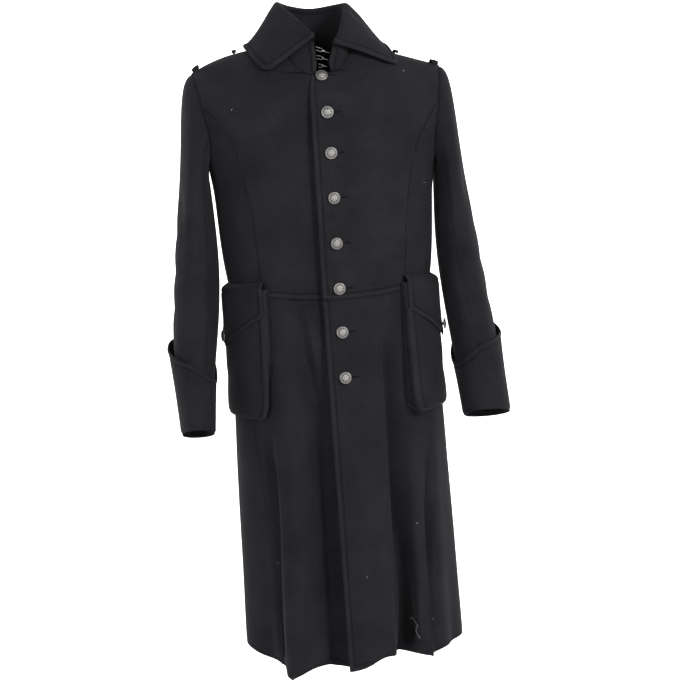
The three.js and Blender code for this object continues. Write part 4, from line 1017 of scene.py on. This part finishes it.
wire, tree, surface = new_material("bright_wire")
scratch = object_noise(tree, SCRATCH_SCALE, 4, 0.6)
WIRE_LOOK = {
    "Base Color": blend(tree, scratch, (0.20, 0.20, 0.21), (0.5, 0.5, 0.51)),
    "Roughness": (0.16 + scratch * 0.2).clamped(),
    "Metallic": 1.0,
}
fill(tree, surface, WIRE_LOOK)
for node in sorted(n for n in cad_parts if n.startswith(("eye", "hook"))):
    piece = four_sided(node)
    piece.name = piece.data.name = f"{node}_wire"
    smoothed(piece, PLAIN)
    mesh = piece.data
    slim = coordinates(mesh) - column(mesh.vertices, "normal", 3) * WIRE_SLIMMING
    mesh.vertices.foreach_set("co", slim.astype(np.float32).ravel())
    covered(mesh, wire)
    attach(piece, "root")
    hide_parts(node)

# ---- Studio ----
# A plain pale bowl of paper stands all round the coat, in soft light with a stronger lamp
# from the viewer's right. The camera has a long lens and looks down a little.

FLOOR_LEVEL = -1.42
FLOOR_MIDDLE, FLOOR_RADIUS, SWEEP_RADIUS, SWEEP_HEIGHT = 0.01, 5.0, 2.0, 6.0
AROUND = 64
SWEEP_STEPS, SWEEP_START = 14, 0.1
profile = [(FLOOR_MIDDLE, 0.0), (FLOOR_RADIUS, 0.0)]
for a in np.linspace(SWEEP_START, math.pi / 2, SWEEP_STEPS):
    profile.append((FLOOR_RADIUS + SWEEP_RADIUS * math.sin(a), SWEEP_RADIUS * (1 - math.cos(a))))
profile.append((FLOOR_RADIUS + SWEEP_RADIUS, SWEEP_HEIGHT))
points = []
for radius, z in profile:
    for k in range(AROUND):
        angle = 2 * math.pi * k / AROUND
        points.append((radius * math.cos(angle), radius * math.sin(angle), FLOOR_LEVEL + z))
faces = [face[::-1] for face in ring_faces(len(profile), AROUND)]
faces.append(tuple(range(AROUND)))
sweep = bpy.data.meshes.new("sweep")
sweep.from_pydata(points, [], faces)
backdrop = new_object("sweep", sweep)
paper, tree, surface = new_material("white_paper")
back_wall = add_node(tree, "ShaderNodeSeparateXYZ", {}, {"Vector": object_place(tree)}, "Y")
PAPER_LOOK = {
    "Base Color": (0.93, 0.93, 0.93, 1),
    "Roughness": 0.9,
    "Emission Color": (0.3 + back_wall * 0.14).clamped(),
    "Emission Strength": 0.9,
}
fill(tree, surface, PAPER_LOOK)
covered(sweep, paper)

ROOM_LIGHT = 0.35
world = bpy.data.worlds.new("studio")
bpy.context.scene.world = world
world.use_nodes = True
room = world.node_tree.nodes["Background"]
fill(world.node_tree, room, {"Color": (1, 1, 1, 1), "Strength": ROOM_LIGHT})

# Name, place, what it looks at, size in metres and power in watts.
LAMPS = [
    ("key", (2.1, -2.9, 1.3), (0, 0, -0.45), 0.9, 195),
    ("fill", (-2.0, -3.0, 0.8), (0, 0, -0.5), 2.0, 85),
    ("rim_left", (-2.4, 1.2, 0.8), (0, 0, -0.4), 1.4, 35),
    ("rim_right", (2.4, 1.2, 0.8), (0, 0, -0.4), 1.4, 35),
]
for name, place, target, size, power in LAMPS:
    light = bpy.data.lights.new(name, "AREA")
    light.size, light.energy = size, power
    lamp = new_object(name, light)
    aim = (Vector(target) - Vector(place)).to_track_quat("-Z", "Y")
    lamp.matrix_world = Matrix.Translation(place) @ aim.to_matrix().to_4x4()

AZIMUTH = math.radians(-5)
PITCH = math.radians(8)
ROLL = math.radians(2.5)
DISTANCE = 3.3
SIDE_STEP = 0.024
EYE_LEVEL = -0.1
FOCAL_PX, FRAME_PX, SENSOR = 1741, 680, 36
FARTHEST = 30
ahead = Vector((-math.sin(AZIMUTH), math.cos(AZIMUTH), 0))
forward = ahead * math.cos(PITCH) - Vector((0, 0, math.sin(PITCH)))
right = forward.cross(Vector((0, 0, 1))).normalized()
up = right.cross(forward)
eye = Vector((0, 0, EYE_LEVEL)) - ahead * DISTANCE + right * SIDE_STEP
rolled_right = right * math.cos(ROLL) - up * math.sin(ROLL)
rolled_up = right * math.sin(ROLL) + up * math.cos(ROLL)
lens = bpy.data.cameras.new("camera")
lens.sensor_width = SENSOR
lens.lens = FOCAL_PX * SENSOR / FRAME_PX
lens.clip_end = FARTHEST
camera = new_object("camera", lens)
facing = Matrix((rolled_right, rolled_up, -forward)).transposed()
camera.matrix_world = Matrix.Translation(eye) @ facing.to_4x4()
bpy.context.scene.camera = camera
bpy.context.scene.view_settings.view_transform = "Standard"
